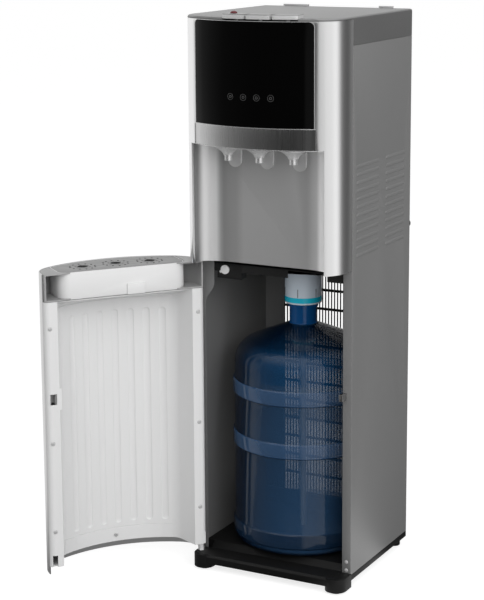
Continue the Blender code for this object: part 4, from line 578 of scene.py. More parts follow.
# %% Dress a solid
WELD = 0.00001
FLAT = math.radians(0.6)
SHARP = math.radians(32.0)
EDGE = 0.0005
CRISP_EDGE = 0.0002
SHEET_EDGE = 0.0003
THIN_EDGE = 0.0004
SOFT_EDGE = 0.0006
FOOT_EDGE = 0.0008
BROAD_EDGE = 0.001
MOULDED_EDGE = 0.0012
MOULDED_STEPS = 3


def keep(name, mesh, finish_used, body):
    """Puts a finished mesh in the scene and hangs it on its body."""
    mesh.name = name
    mesh.materials.clear()
    mesh.materials.append(finish_used)
    made = bpy.data.objects.new(name, mesh)
    SCENE.collection.objects.link(made)
    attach(made, body)
    return made


def baked(holder):
    """The object's mesh with its modifiers applied. The object goes."""
    bpy.context.view_layer.update()
    graph = bpy.context.evaluated_depsgraph_get()
    mesh = bpy.data.meshes.new_from_object(holder.evaluated_get(graph))
    bpy.data.objects.remove(holder, do_unlink=True)
    return mesh


def smooth(mesh):
    mesh.shade_smooth()
    mesh.set_sharp_from_angle(angle=SHARP)
    return mesh


def dress(node, finish_used, edge=EDGE, segments=2, carved=None, rounded=None):
    """A copy of a solid with merged points and soft edges, which stands for it. carved is cut out of it
    first, and the edges that rounded picks get the radius that it comes with."""
    source = NODES[node]
    form = bmesh.new()
    form.from_mesh(source.data)
    bmesh.ops.remove_doubles(form, verts=form.verts, dist=WELD)
    bmesh.ops.dissolve_limit(form, angle_limit=FLAT, verts=form.verts, edges=form.edges)
    if rounded is not None:
        picks, radius, steps = rounded
        chosen = [edge for edge in form.edges if all(picks(vert.co) for vert in edge.verts)]
        bmesh.ops.bevel(form, geom=chosen, offset=radius, segments=steps, profile=0.5, affect="EDGES",
                        clamp_overlap=False)
    mesh = bpy.data.meshes.new(node)
    form.to_mesh(mesh)
    form.free()
    holder = bpy.data.objects.new("holder", mesh)
    SCENE.collection.objects.link(holder)
    if carved is not None:
        knife = bpy.data.objects.new("knife", carved)
        SCENE.collection.objects.link(knife)
        carve = holder.modifiers.new("carve", "BOOLEAN")
        carve.solver = "EXACT"
        carve.object = knife
        mesh.shade_smooth()
    if edge:
        soften = holder.modifiers.new("soften", "BEVEL")
        soften.width = edge
        soften.segments = segments
        soften.limit_method = "ANGLE"
        soften.angle_limit = SHARP
        soften.harden_normals = False
    if carved is None:
        final = smooth(baked(holder))
    else:
        holder.modifiers.new("even", "WEIGHTED_NORMAL")
        final = baked(holder)
    made = keep(node + "_finished", final, finish_used, source["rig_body"])
    if carved is not None:
        bpy.data.objects.remove(knife, do_unlink=True)
    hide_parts(node)
    return made


def dress_all(names, finish_used, edge=EDGE):
    for node in names.split():
        dress(node, finish_used, edge)


# %% [markdown]
# ## The bowed front as a rule
# Many small parts sit on the bowed front or on the door, which has the same bow. It is an arc of one
# radius, so a function gives its Y at any X. What belongs to the door is made with the door shut and then
# turned about the hinge.

# %% The bow and the door's turn
BOW_RADIUS = 0.257
BOW_FRONT = -0.238
BOW_CENTRE = BOW_FRONT + BOW_RADIUS
OPENED = Matrix.Translation(HINGE) @ Matrix.Rotation(DOOR_TURN, 4, "Z") @ Matrix.Translation(-HINGE)


def bow_y(x, inset=0.0):
    return BOW_CENTRE - math.sqrt((BOW_RADIUS - inset) ** 2 - x * x)


def bow_normal(x, inset=0.0):
    """The direction that the bow faces at x, away from the cabinet."""
    return Vector((x, bow_y(x, inset) - BOW_CENTRE, 0.0)).normalized()


# %% [markdown]
# ## Steel sides, rear and cover
# The side panels are thin folded sheet, so their edges are nearly sharp. The cover is moulded, and its top
# outline is rounded at the sides and the rear.

# %% Cabinet skins
dress_all("side_panel_left side_panel_right", side_paint, SHEET_EDGE)
dress("back_panel", rear_paint, SHEET_EDGE)
COVER_TOP = 1.050
COVER_ROUND = 0.0042
COVER_STEPS = 5
RIM_SIDE = 0.122
RIM_REAR = 0.130


def on_cover_rim(spot):
    """Whether a point is on the cover's top outline, away from the keys."""
    return spot.z > COVER_TOP - WELD and (abs(spot.x) > RIM_SIDE or spot.y > RIM_REAR)


dress("top_cover", cover_plastic, MOULDED_EDGE, MOULDED_STEPS, None,
       (on_cover_rim, COVER_ROUND, COVER_STEPS))

# %% Front, recess and base
dress("fascia_frame", silver, SOFT_EDGE)
dress("control_panel", gloss_black, EDGE)
dress("tap_strip", brushed, EDGE)
dress("recess_liner", recess_plastic, THIN_EDGE)
dress("base_tray", base_plastic, MOULDED_EDGE, MOULDED_STEPS)
dress_all("rubber_foot_front_left rubber_foot_front_right rubber_foot_rear_left rubber_foot_rear_right",
          rubber, FOOT_EDGE)
for key in ("key_hot", "key_room", "key_cold"):
    dress(key, key_plastic, MOULDED_EDGE, MOULDED_STEPS)
dress("child_lock", red_plastic, SHEET_EDGE)

# %% [markdown]
# ## Grooves in the door
# The inside of the door has seven upright grooves with round ends, nearly two millimetres deep, and a
# crease over and under them. Long bars with shrinking ends stand in a row on the bow, and one Boolean cuts
# them and the creases from the copy of the liner.

# %% Groove cutters
GROOVES = 7
GROOVE_PITCH = 0.0302
GROOVE_SHIFT = -0.0060
GROOVE_HALF = 0.0068
GROOVE_DEPTH = 0.0018
GROOVE_LOW = 0.084
GROOVE_HIGH = 0.503
CREASES = (0.0755, 0.5235)
CREASE_HALF = 0.0010
CREASE_REACH = 0.116
CREASE_STEPS = 40
LINER_INSET = 0.020
GROOVE_SIDES = 16
GROOVE_END_STEPS = 6
GROOVE_TIP = 0.02


def on_bow(reach, turn, height):
    return (reach * math.sin(turn), BOW_CENTRE - reach * math.cos(turn), height)


def skin(form, rings):
    """Faces from ring to ring, and one over each end."""
    sides = len(rings[0])
    for low_ring, high_ring in zip(rings, rings[1:]):
        for k in range(sides):
            m = (k + 1) % sides
            form.faces.new((low_ring[k], low_ring[m], high_ring[m], high_ring[k]))
    form.faces.new(rings[0][::-1])
    form.faces.new(rings[-1])


def groove_bars():
    """The cutters, where they are with the door open."""
    form = bmesh.new()
    reach = BOW_RADIUS - LINER_INSET
    ends = [GROOVE_HALF * (1 - math.cos(math.pi / 2 * i / GROOVE_END_STEPS))
            for i in range(GROOVE_END_STEPS + 1)]
    levels = [(GROOVE_LOW + end, end) for end in ends]
    levels += [(GROOVE_HIGH - end, end) for end in reversed(ends)]
    for index in range(GROOVES):
        turn = ((index - (GROOVES - 1) / 2) * GROOVE_PITCH + GROOVE_SHIFT) / reach
        rings = []
        for height, from_end in levels:
            gone = 1 - min(from_end / GROOVE_HALF, 1.0)
            share = max(math.sqrt(1 - gone * gone), GROOVE_TIP)
            ring = []
            for k in range(GROOVE_SIDES):
                angle = math.tau * k / GROOVE_SIDES
                sideways = GROOVE_HALF * share * math.cos(angle)
                deep = GROOVE_DEPTH * share * math.sin(angle)
                ring.append(form.verts.new(on_bow(reach + deep, turn + sideways / reach, height)))
            rings.append(ring)
        skin(form, rings)
    for height in CREASES:
        rings = []
        for step in range(CREASE_STEPS + 1):
            turn = (2 * step / CREASE_STEPS - 1) * CREASE_REACH / reach
            rings.append([form.verts.new(on_bow(reach + deep, turn, height + up)) for deep, up in
                          ((-CREASE_HALF, -CREASE_HALF), (CREASE_HALF, 0.0), (-CREASE_HALF, CREASE_HALF))])
        skin(form, rings)
    bmesh.ops.recalc_face_normals(form, faces=form.faces)
    mesh = bpy.data.meshes.new("groove_bars")
    form.to_mesh(mesh)
    form.free()
    mesh.transform(OPENED)
    return mesh


# %% Door and bay
dress("door_skin", silver_door_shaded, THIN_EDGE)
dress("door_liner", liner_plastic, SOFT_EDGE, 2, groove_bars())
dress("door_catch", rim_plastic, THIN_EDGE)
dress_all("door_cap_hinge door_cap_free", rim_plastic)
dress("drip_grille", grille_plastic)
dress("drip_tray", liner_plastic, SOFT_EDGE)
dress_all("bay_deck probe_hanger", bay_plastic)
dress("hanger_plug", white_plastic, THIN_EDGE)
dress_all("hinge_pin_lower hinge_bracket_upper catch_striker", zinc, CRISP_EDGE)

# %% Rear fittings and inside
dress_all("heater_bezel cooler_bezel cooler_switch power_inlet drain_spout", bay_plastic, SHEET_EDGE)
dress("heater_switch", red_plastic, SHEET_EDGE)
dress("drain_plug", rubber, SHEET_EDGE)
dress("compressor", enamel, BROAD_EDGE)
dress("water_pump", enamel, SOFT_EDGE)
dress_all("cold_tank hot_tank", foam, BROAD_EDGE)
dress("tank_shelf", galvanised, CRISP_EDGE)
dress("control_board", lacquer, CRISP_EDGE)
dress_all("pipe_hot pipe_room pipe_cold dip_tube", tube_plastic, 0.0)
for key in ("hot", "room", "cold"):
    low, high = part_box("key_spring_" + key)
    spring = dress("key_spring_" + key, zinc, 0.0)
    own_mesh(spring)

# %% [markdown]
# ## Shapes that repeat
# Geometry Nodes make what repeats. One function runs a tree once on a small source mesh, whose sizes are
# its named inputs, and keeps the result as a plain mesh. Another sets a shape on a list of places, each
# with the direction that it faces.


# %% Run a Geometry Nodes tree once
def grow(name, build, sizes, finish_used, body, source=None, place=None):
    tree = bpy.data.node_groups.new(name, "GeometryNodeTree")
    tree.interface.new_socket("Geometry", in_out="INPUT", socket_type="NodeSocketGeometry")
    tree.interface.new_socket("Geometry", in_out="OUTPUT", socket_type="NodeSocketGeometry")
    identifiers = {}
    for label, value in sizes.items():
        kind = "NodeSocketInt" if isinstance(value, int) else "NodeSocketFloat"
        identifiers[label] = tree.interface.new_socket(label, in_out="INPUT", socket_type=kind).identifier
    net = Net(tree)
    entry = tree.nodes.new("NodeGroupInput")
    given = {label: Wire(net, entry.outputs[label]) for label in sizes}
    shape = build(net, given, Wire(net, entry.outputs["Geometry"]))
    shape = net.add("GeometryNodeRealizeInstances", {"Geometry": shape})
    shape = net.add("GeometryNodeSetMaterial", {"Geometry": shape, "Material": finish_used})
    leave = tree.nodes.new("NodeGroupOutput")
    tree.links.new(shape.socket, leave.inputs["Geometry"])
    holder = bpy.data.objects.new("holder", source or bpy.data.meshes.new(name))
    SCENE.collection.objects.link(holder)
    step = holder.modifiers.new("grow", "NODES")
    step.node_group = tree
    for label, value in sizes.items():
        step[identifiers[label]] = value
    mesh = smooth(baked(holder))
    if place is not None:
        mesh.transform(place)
    print(name, len(mesh.polygons), "faces")
    return keep(name, mesh, finish_used, body)


def spots(places):
    """A mesh of bare points, each with the direction that it faces."""
    mesh = bpy.data.meshes.new("spots")
    mesh.from_pydata([place for place, _ in places], [], [])
    facing = mesh.attributes.new("facing", "FLOAT_VECTOR", "POINT")
    for item, (_, direction) in zip(facing.data, places):
        item.vector = direction
    return mesh


def set_on_spots(net, points, shape):
    """An instance of the shape on each point, its Z along the point's facing."""
    facing = net.node("GeometryNodeInputNamedAttribute", {"data_type": "FLOAT_VECTOR"}, {"Name": "facing"})
    turned = net.node("FunctionNodeAlignRotationToVector", {"axis": "Z"}, {"Vector": facing})
    return net.add("GeometryNodeInstanceOnPoints",
                   {"Points": points, "Instance": shape, "Rotation": turned})


# %% [markdown]
# ## Trim round the control panel
# A thin bright line runs round the black panel, with round corners at the top. Points follow its outline on
# the bow, and Geometry Nodes give them a round section.

# %% Lines that follow the front
PANEL_HALF = 0.1172
PANEL_LOW = 0.8602
PANEL_HIGH = 1.0446
PANEL_CORNER = 0.009
TRIM_RADIUS = 0.00065
TRIM_OUT = TRIM_RADIUS / 3
STRIP_TRIM = TRIM_RADIUS * 0.8
LINE_SIDES = 8
CORNER_STEPS = 6
ALONG_STEPS = 24


def line_mesh(points, closed=False):
    mesh = bpy.data.meshes.new("line")
    edges = [(i, i + 1) for i in range(len(points) - 1)]
    if closed:
        edges.append((len(points) - 1, 0))
    mesh.from_pydata(points, edges, [])
    return mesh


def round_line(net, size, line):
    curve = net.add("GeometryNodeMeshToCurve", {"Mesh": line})
    section = net.circle(LINE_SIDES, size["Radius"])
    return net.swept(curve, section)


def corner(centre_x, centre_z, radius, start, end, steps=CORNER_STEPS):
    turns = [math.radians(start + (end - start) * i / steps) for i in range(steps + 1)]
    return [(centre_x + radius * math.cos(t), centre_z + radius * math.sin(t)) for t in turns]


def along(start, end, steps=ALONG_STEPS):
    return [start + (end - start) * i / steps for i in range(steps + 1)]


inner = PANEL_HALF - PANEL_CORNER
outline = [(x, PANEL_LOW) for x in along(-PANEL_HALF, PANEL_HALF)]
outline += corner(inner, PANEL_HIGH - PANEL_CORNER, PANEL_CORNER, 0, 90)
outline += [(x, PANEL_HIGH) for x in along(inner, -inner)[1:-1]]
outline += corner(-inner, PANEL_HIGH - PANEL_CORNER, PANEL_CORNER, 90, 180)
points = [(x, bow_y(x) - TRIM_OUT, z) for x, z in outline]
grow("panel_trim", round_line, {"Radius": TRIM_RADIUS}, trim_silver, "cabinet", line_mesh(points, True))

STRIP_HALF = 0.1197
STRIP_LOW = 0.8224
STRIP_HIGH = 0.8596
points = [(x, bow_y(x) - TRIM_OUT, z) for x, z in
          [(x, STRIP_LOW) for x in along(-STRIP_HALF, STRIP_HALF)] + [(STRIP_HALF, STRIP_HIGH)]
          + [(x, STRIP_HIGH) for x in along(STRIP_HALF, -STRIP_HALF)[1:]]]
grow("strip_trim", round_line, {"Radius": STRIP_TRIM}, trim_silver, "cabinet", line_mesh(points, True))

# %% [markdown]
# ## Rings on the panel
# Four small rings are printed on the black panel. They are thin hoops on the bow.

# %% Panel rings
RING_PLACES = (-0.0332, -0.0068, 0.0189, 0.0449)
RING_HEIGHT = 0.913
RING_RADIUS = 0.0056
RING_LINE = 0.00035
GLYPH_RADIUS = RING_RADIUS * 0.36
GLYPH_LINE = RING_LINE * 1.6
HOOP_STEPS = 32
HOOP_SIDES = 6


def hoop(net, size, points):
    path = net.circle(HOOP_STEPS, size["Radius"])
    section = net.circle(HOOP_SIDES, size["Line"])
    ring = net.swept(path, section, False)
    return set_on_spots(net, points, ring)


places = [((x, bow_y(x), RING_HEIGHT), bow_normal(x)) for x in RING_PLACES]
grow("panel_rings", hoop, {"Radius": RING_RADIUS, "Line": RING_LINE}, pale_print, "cabinet", spots(places))
grow("panel_glyphs", hoop, {"Radius": GLYPH_RADIUS, "Line": GLYPH_LINE}, pale_print, "cabinet",
     spots(places))

# %% [markdown]
# ## Nozzles
# A nozzle's profile is spun round its axis in 64 steps, down the outside and back up the bore.

# %% Spin a profile
SPIN_STEPS = 64


def spun(profile, place, steps=SPIN_STEPS):
    """A closed profile of (radius, height) points, spun round the upright axis through place."""
    form = bmesh.new()
    verts = [form.verts.new((radius, 0.0, height)) for radius, height in profile]
    edges = [form.edges.new((verts[i], verts[(i + 1) % len(verts)])) for i in range(len(verts))]
    bmesh.ops.spin(form, geom=verts + edges, cent=(0, 0, 0), axis=(0, 0, 1), angle=math.tau, steps=steps,
                   use_merge=True)
    bmesh.ops.remove_doubles(form, verts=form.verts, dist=WELD)
    bmesh.ops.recalc_face_normals(form, faces=form.faces)
    mesh = bpy.data.meshes.new("spun")
    form.to_mesh(mesh)
    form.free()
    mesh.transform(Matrix.Translation(place))
    return smooth(mesh)


NOZZLE_RADIUS = 0.0235
NOZZLE_NECK = 0.0095
NOZZLE_TIP = 0.00725
NOZZLE_BORE = 0.004
RIM_ROUND = 0.0006
RIM_START = 0.0007
RIM_LOW = 0.0034
RIM_STEP = 0.0008
CONE_TOP = 0.0045
CONE_SHARE = 0.62
CONE_POWER = 0.9
CONE_STEPS = 6
TIP_FLARE = 0.0004
TIP_START = 0.0002
for name in ("hot", "room", "cold"):
    low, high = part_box("tap_nozzle_" + name)
    middle = (low + high) / 2
    drop = high.z - low.z
    cone = drop * CONE_SHARE
    wide = NOZZLE_RADIUS - RIM_STEP
    profile = [(NOZZLE_BORE, 0.0), (NOZZLE_RADIUS - RIM_ROUND, 0.0), (NOZZLE_RADIUS, -RIM_START),
               (NOZZLE_RADIUS, -RIM_LOW), (wide, -CONE_TOP)]
    for i in range(1, CONE_STEPS + 1):
        share = i / CONE_STEPS
        reach = wide - (wide - NOZZLE_NECK) * math.sin(share * math.pi / 2) ** CONE_POWER
        profile.append((reach, -CONE_TOP - (cone - CONE_TOP) * share))
    profile += [(NOZZLE_TIP + TIP_FLARE, -cone - TIP_START), (NOZZLE_TIP, -cone - RIM_STEP),
                (NOZZLE_TIP, -drop + RIM_ROUND), (NOZZLE_TIP - RIM_ROUND, -drop), (NOZZLE_BORE, -drop)]
    nozzle = keep("nozzle_" + name, spun(profile, (middle.x, middle.y, high.z)), nozzle_finish, "cabinet")
    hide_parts("tap_nozzle_" + name)
    dress("tap_body_" + name, tap_plastic, THIN_EDGE)

# %% [markdown]
# ## Louvres
# Each side has two columns of pressed louvres. A hood over each slot is a flat bar that thins at both ends.

# %% Hoods over the slots
LOUVRE_COUNT = 12
LOUVRE_PITCH = 0.0147
LOUVRE_LOW = 0.620
LOUVRE_SLOT = 0.0035
HOOD_HALF = 0.0036
HOOD_UP = 0.75
HOOD_FLAT = 0.30
HOOD_END = 0.06
BAR_STEPS = 24
BAR_SIDES = 10
THINNEST = 0.999
LOUVRE_COLUMNS = ((-0.113, -0.0155), (0.0155, 0.1015))
SIDE_FACE = 0.155


def tapered_bar(net, length, radius, flatness, end_share):
    """A bar along X with a flattened round section that thins to nothing at both ends."""
    start = net.vector(length * -0.5, 0.0, 0.0)
    stop = net.vector(length * 0.5, 0.0, 0.0)
    line = net.node("GeometryNodeCurvePrimitiveLine", {"mode": "POINTS"}, {"Start": start, "End": stop})
    line = net.add("GeometryNodeResampleCurve", {"Curve": line, "Count": BAR_STEPS})
    where = net.add("GeometryNodeSplineParameter", {}, output="Factor")
    to_end = (where * 2.0 - 1.0).math("ABSOLUTE", where * 2.0 - 1.0)
    ramp = net.node("ShaderNodeMapRange", {"interpolation_type": "LINEAR"},
                    {"Value": to_end, "From Min": 1.0 - end_share, "From Max": 1.0, "To Min": 0.0,
                     "To Max": THINNEST})
    scale = (1.0 - ramp * ramp).math("SQRT", 1.0 - ramp * ramp)
    section = net.circle(BAR_SIDES, radius)
    line = net.add("GeometryNodeSetCurveRadius", {"Curve": line, "Radius": scale})
    bar = net.add("GeometryNodeCurveToMesh",
                  {"Curve": line, "Profile Curve": section, "Scale": scale, "Fill Caps": True})
    return net.changed(bar, "Scale", (1.0, 1.0, flatness))


def hoods(net, size, points):
    """A pressed hood: a flat rounded bar."""
    bar = tapered_bar(net, size["Length"], size["Width"], HOOD_FLAT, HOOD_END)
    bar = net.changed(bar, "Rotation", (0.0, 0.0, math.radians(90)))
    return set_on_spots(net, points, bar)


for side, name in ((-1, "left"), (1, "right")):
    for column, (low_y, high_y) in enumerate(LOUVRE_COLUMNS):
        places = []
        for row in range(LOUVRE_COUNT):
            z = LOUVRE_LOW + row * LOUVRE_PITCH + LOUVRE_SLOT * HOOD_UP
            places.append(((SIDE_FACE * side, (low_y + high_y) / 2, z), (side, 0.0, 0.0)))
        grow(f"louvres_{name}_{column}", hoods, {"Length": high_y - low_y + LOUVRE_SLOT, "Width": HOOD_HALF},
             side_paint, "cabinet", spots(places), None)

# %% [markdown]
# ## Screws and rivets
# A screw is a low dome with a cross cut out of it, and a rivet is the dome alone. Each place gets one,
# turned to face away from the wall.

# %% Screws
SCREW_RADIUS = 0.0041
SCREW_HEIGHT = 0.35
CROSS_WIDTH = 0.3
CROSS_DEPTH = 0.5
CROSS_REACH = 1.1
FRONT_RIVET = 0.0036
BACK_SCREW = 0.0032
FLANGE_RIVET = 0.0026
LIP_INSET = 0.0002
LIP_OUT = 0.002
LIP_SCREW = 0.0615


def screw_heads(net, size, points):
    dome = net.add("GeometryNodeMeshUVSphere", {"Segments": 20, "Rings": 10, "Radius": size["Radius"]})
    dome = net.changed(dome, "Scale", (1.0, 1.0, SCREW_HEIGHT))
    long = size["Radius"] * CROSS_REACH
    thin = size["Radius"] * CROSS_WIDTH
    bars = []
    for x, y in ((long, thin), (thin, long)):
        bar = net.add("GeometryNodeMeshCube", {"Size": net.vector(x, y, size["Radius"] * CROSS_DEPTH)})
        up = net.vector(0.0, 0.0, size["Radius"] * SCREW_HEIGHT)
        bars.append(net.changed(bar, "Translation", up))
    for bar in bars:
        dome = net.node("GeometryNodeMeshBoolean", {"operation": "DIFFERENCE"},
                        {"Mesh 1": dome, "Mesh 2": bar})
    return set_on_spots(net, points, dome)


def rivet_heads(net, size, points):
    dome = net.add("GeometryNodeMeshUVSphere", {"Segments": 16, "Rings": 8, "Radius": size["Radius"]})
    dome = net.changed(dome, "Scale", (1.0, 1.0, SCREW_HEIGHT))
    return set_on_spots(net, points, dome)


DOOR_INNER = -0.135
FREE_SCREWS = ((0.1445, 0.498), (0.1445, 0.284), (0.1445, 0.116))
HINGE_SCREWS = ((-0.141, 0.502), (-0.141, 0.290), (-0.141, 0.123))
places = [((x, DOOR_INNER, z), (0.0, 1.0, 0.0)) for x, z in FREE_SCREWS + HINGE_SCREWS]
lip_y = bow_y(0.0, LINER_INSET + LIP_INSET) + LIP_OUT
places.append(((0.0, lip_y, LIP_SCREW), (0.0, 1.0, 0.0)))
grow("door_screws", screw_heads, {"Radius": SCREW_RADIUS}, pale_screw, "door", spots(places), OPENED)

FRONT_FACE = -0.132
places = [((0.1465, FRONT_FACE, z), (0.0, -1.0, 0.0)) for z in (0.034, 0.050)]
grow("front_rivets", rivet_heads, {"Radius": FRONT_RIVET}, pale_screw, "cabinet", spots(places), None)

REAR_FACE = 0.1335
places = [((x, REAR_FACE, z), (0.0, 1.0, 0.0)) for x in (-0.143, 0.143)
          for z in (0.585, 0.70, 0.82, 0.93, 1.035)]
places += [((x, REAR_FACE, 1.038), (0.0, 1.0, 0.0)) for x in (-0.06, 0.0, 0.06)]
grow("back_screws", screw_heads, {"Radius": BACK_SCREW}, zinc, "cabinet", spots(places), None)

INNER_FLANGE = 0.1308
places = [((x, INNER_FLANGE, z), (0.0, -1.0, 0.0)) for x in (-0.128, 0.128)
          for z in (0.10, 0.22, 0.34, 0.548)]
grow("flange_screws", rivet_heads, {"Radius": FLANGE_RIVET}, zinc, "cabinet", spots(places), None)

# %% [markdown]
# ## Rosettes in the drip grille
# Under each tap the grille has one large opening and rings of small holes. Thin hoops are their rims. Dark
# discs of painted shadow lie just above the plate: one over each large opening, and others that stand for the
# small holes that the imported solid doesn't have.

# %% Grille rims and small holes
GRILLE_TOP = 0.5965
TAP_PITCH = 0.065
GRILLE_NEAR = -0.1415
TRAY_INSET = 0.0031
RING_COUNT = 6
RING_REACH = 0.013
OUTER_COUNT = 12
OUTER_REACH = 0.0235
CENTRE_HOLE = 0.0100
SMALL_RIM = 0.0026
SMALL_RIM_LINE = 0.00045
LARGE_RIM_LINE = 0.0006
OUTER_HOLE = 0.0019
DISC_THICK = 0.0004
DISC_SIDES = 14
OVAL = 0.98
EDGE_CLEAR = 0.007


def flat_disc(net, size, points):
    disc = net.node("GeometryNodeMeshCylinder", {"fill_type": "NGON"},
                    {"Vertices": DISC_SIDES, "Radius": size["Radius"], "Depth": size["Thickness"]},
                    output="Mesh")
    return set_on_spots(net, points, disc)


def rosette(radius, count, turned=0.0):
    """Places round each tap's spot on the shut door's grille."""
    found = []
    for i in (-1, 0, 1):
        x = i * TAP_PITCH
        y = (bow_y(x, TRAY_INSET) + GRILLE_NEAR) / 2
        for k in range(count):
            turn = math.tau * (k + turned) / count
            place = (x + radius * math.cos(turn), y + radius * math.sin(turn) * OVAL, GRILLE_TOP)
            found.append((place, (0.0, 0.0, 1.0)))
    return found


outer_holes = [(place, facing) for place, facing in rosette(OUTER_REACH, OUTER_COUNT)
               if bow_y(place[0], TRAY_INSET) + EDGE_CLEAR < place[1] < GRILLE_NEAR - EDGE_CLEAR]
# The black discs are painted shadow, standing for the dark inside of the openings.
for name, build, sizes, finish_used, found in (
        ("grille_rims_small", hoop, {"Radius": SMALL_RIM, "Line": SMALL_RIM_LINE}, grille_plastic,
         rosette(RING_REACH, RING_COUNT, 0.5)),
        ("grille_rims_large", hoop, {"Radius": CENTRE_HOLE, "Line": LARGE_RIM_LINE}, grille_plastic,
         rosette(0.0, 1)),
        ("grille_centres", flat_disc, {"Radius": CENTRE_HOLE, "Thickness": DISC_THICK}, shadow_black,
         rosette(0.0, 1)),
        ("grille_holes_outer", flat_disc, {"Radius": OUTER_HOLE, "Thickness": DISC_THICK}, shadow_black,
         outer_holes)):
    grow(name, build, sizes, finish_used, "drip_grille", spots(found), OPENED)

# %% [markdown]
# ## The bottle
# The bottle has a dome, three raised bands and a thick foot. The profile has short arcs at each band, and
# it runs back up inside, a wall's thickness in.

# %% Bottle profile
BOTTLE_RADIUS = 0.134
BOTTLE_WALL = 0.0012
BOTTLE_GROOVE = 0.003
BOTTLE_PLACE = (0.0, -0.013, 0.0403)
NECK_RADIUS = 0.026
NECK_LOW = 0.428
NECK_FLARE = 0.006
MOUTH = 0.4755
COLLAR_RADIUS = 0.0287
COLLAR_LOW = 0.4555
COLLAR_HIGH = 0.4625
BODY_TOP = 0.351
ROUND = 0.046
ROUND_TURN = 67.4
BAND = 0.029
BANDS = (0.2924, 0.192, 0.0167)
FOOT = 0.018
FOOT_RISE = 0.006
FOOT_FLAT = 0.8
COLLAR_ROUND = 0.0008
BAND_OVER = 0.0015
BAND_ROLL = 0.0045
BAND_UNDER = 0.003
ARC_STEPS = 6
SHOULDER_STEPS = 24
FOOT_STEPS = 8
BOTTLE_STEPS = 96

body = BOTTLE_RADIUS - BOTTLE_GROOVE
outer = [(NECK_RADIUS, MOUTH), (NECK_RADIUS, COLLAR_HIGH), (COLLAR_RADIUS, COLLAR_HIGH - COLLAR_ROUND),
         (COLLAR_RADIUS, COLLAR_LOW + COLLAR_ROUND), (NECK_RADIUS, COLLAR_LOW)]
for i in range(ARC_STEPS + 1):
    turn = math.pi / 2 * i / ARC_STEPS
    outer.append((NECK_RADIUS + NECK_FLARE * (1 - math.cos(turn)), NECK_LOW - NECK_FLARE * math.sin(turn)))
for i in range(SHOULDER_STEPS + 1):
    turn = math.radians(ROUND_TURN) * (1 - i / SHOULDER_STEPS)
    outer.append((body - ROUND + ROUND * math.cos(turn), BODY_TOP + ROUND * math.sin(turn)))
for low in BANDS:
    high = low + BAND
    for i in range(ARC_STEPS + 1):
        share = i / ARC_STEPS
        swell = (1 - math.cos(math.pi * share)) / 2
        outer.append((body + BOTTLE_GROOVE * swell, high + BAND_OVER - BAND_ROLL * share))
    for i in range(ARC_STEPS + 1):
        share = i / ARC_STEPS
        swell = (1 + math.cos(math.pi * share)) / 2
        outer.append((body + BOTTLE_GROOVE * swell, low + BAND_UNDER - BAND_ROLL * share))
for i in range(1, FOOT_STEPS + 1):
    turn = math.pi / 2 * i / FOOT_STEPS
    outer.append((body - FOOT + FOOT * math.cos(turn), FOOT * FOOT_FLAT * (1 - math.sin(turn))))
outer += [(body - 2 * FOOT, 0.0), (body - 2 * FOOT - FOOT_RISE, FOOT_RISE), (0.0, FOOT_RISE)]
inner_wall = [(max(min(radius, body if height > FOOT else radius) - BOTTLE_WALL, 0.0),
               height + BOTTLE_WALL * (radius < body - FOOT / 2 and height < FOOT)
               - BOTTLE_WALL * (BODY_TOP < height < NECK_LOW))
              for radius, height in reversed(outer) if radius != COLLAR_RADIUS]
bottle = keep("bottle_blown", spun(outer + inner_wall, BOTTLE_PLACE, BOTTLE_STEPS), bottle_plastic, "bottle")
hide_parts("bottle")
print("bottle", len(outer), "profile points")

# %% [markdown]
# ## Cap and ring
# A milky cap with thin slits closes the neck, and a cyan ring sits at its foot. The slits are black bars of
# painted shade.

# %% Cap
CAP_RADIUS = 0.035
CAP_LOW = 0.4635
CAP_HIGH = 0.5318
CAP_ROOF = 0.006
CAP_BORE = 0.0263
CAP_SEAT = 0.4758
TUBE_HOLE = 0.0063
RING_LOW = 0.0028
RING_TALL = 0.0135
CAP_ROUND = 0.003
CAP_EDGE = 0.0006
RING_SINK = 0.0008
RING_OUT = 0.0003
RING_EDGE = 0.0005

profile = [(TUBE_HOLE, CAP_HIGH)]
profile += [(CAP_RADIUS - CAP_ROUND + CAP_ROUND * math.sin(math.pi / 2 * i / ARC_STEPS),
             CAP_HIGH - CAP_ROOF * (1 - math.cos(math.pi / 2 * i / ARC_STEPS))) for i in range(ARC_STEPS + 1)]
profile += [(CAP_RADIUS, CAP_LOW + CAP_EDGE), (CAP_RADIUS - CAP_EDGE, CAP_LOW), (CAP_BORE, CAP_LOW),
            (CAP_BORE, CAP_SEAT), (TUBE_HOLE, CAP_SEAT)]
cap = keep("bottle_cap_milky", spun(profile, BOTTLE_PLACE, BOTTLE_STEPS), cap_plastic, "bottle")
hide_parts("bottle_cap")
ring_low = CAP_LOW + RING_LOW
ring_high = CAP_LOW + RING_TALL
ring = [(CAP_RADIUS - RING_SINK, ring_low), (CAP_RADIUS + RING_OUT, ring_low + RING_EDGE),
        (CAP_RADIUS + RING_OUT, ring_high - RING_EDGE), (CAP_RADIUS - RING_SINK, ring_high)]
keep("cap_ring", spun(ring, BOTTLE_PLACE, BOTTLE_STEPS), cyan_plastic, "bottle")


SLIT_FLAT = 0.8
SLIT_END = 0.2


def slits(net, size, points):
    bar = tapered_bar(net, size["Length"], size["Width"], SLIT_FLAT, SLIT_END)
    bar = net.changed(bar, "Rotation", (0.0, math.radians(90), 0.0))
    circle = net.add("GeometryNodeMeshCircle", {"Vertices": size["Count"], "Radius": size["Radius"]})
    return net.add("GeometryNodeInstanceOnPoints", {"Points": circle, "Instance": bar})


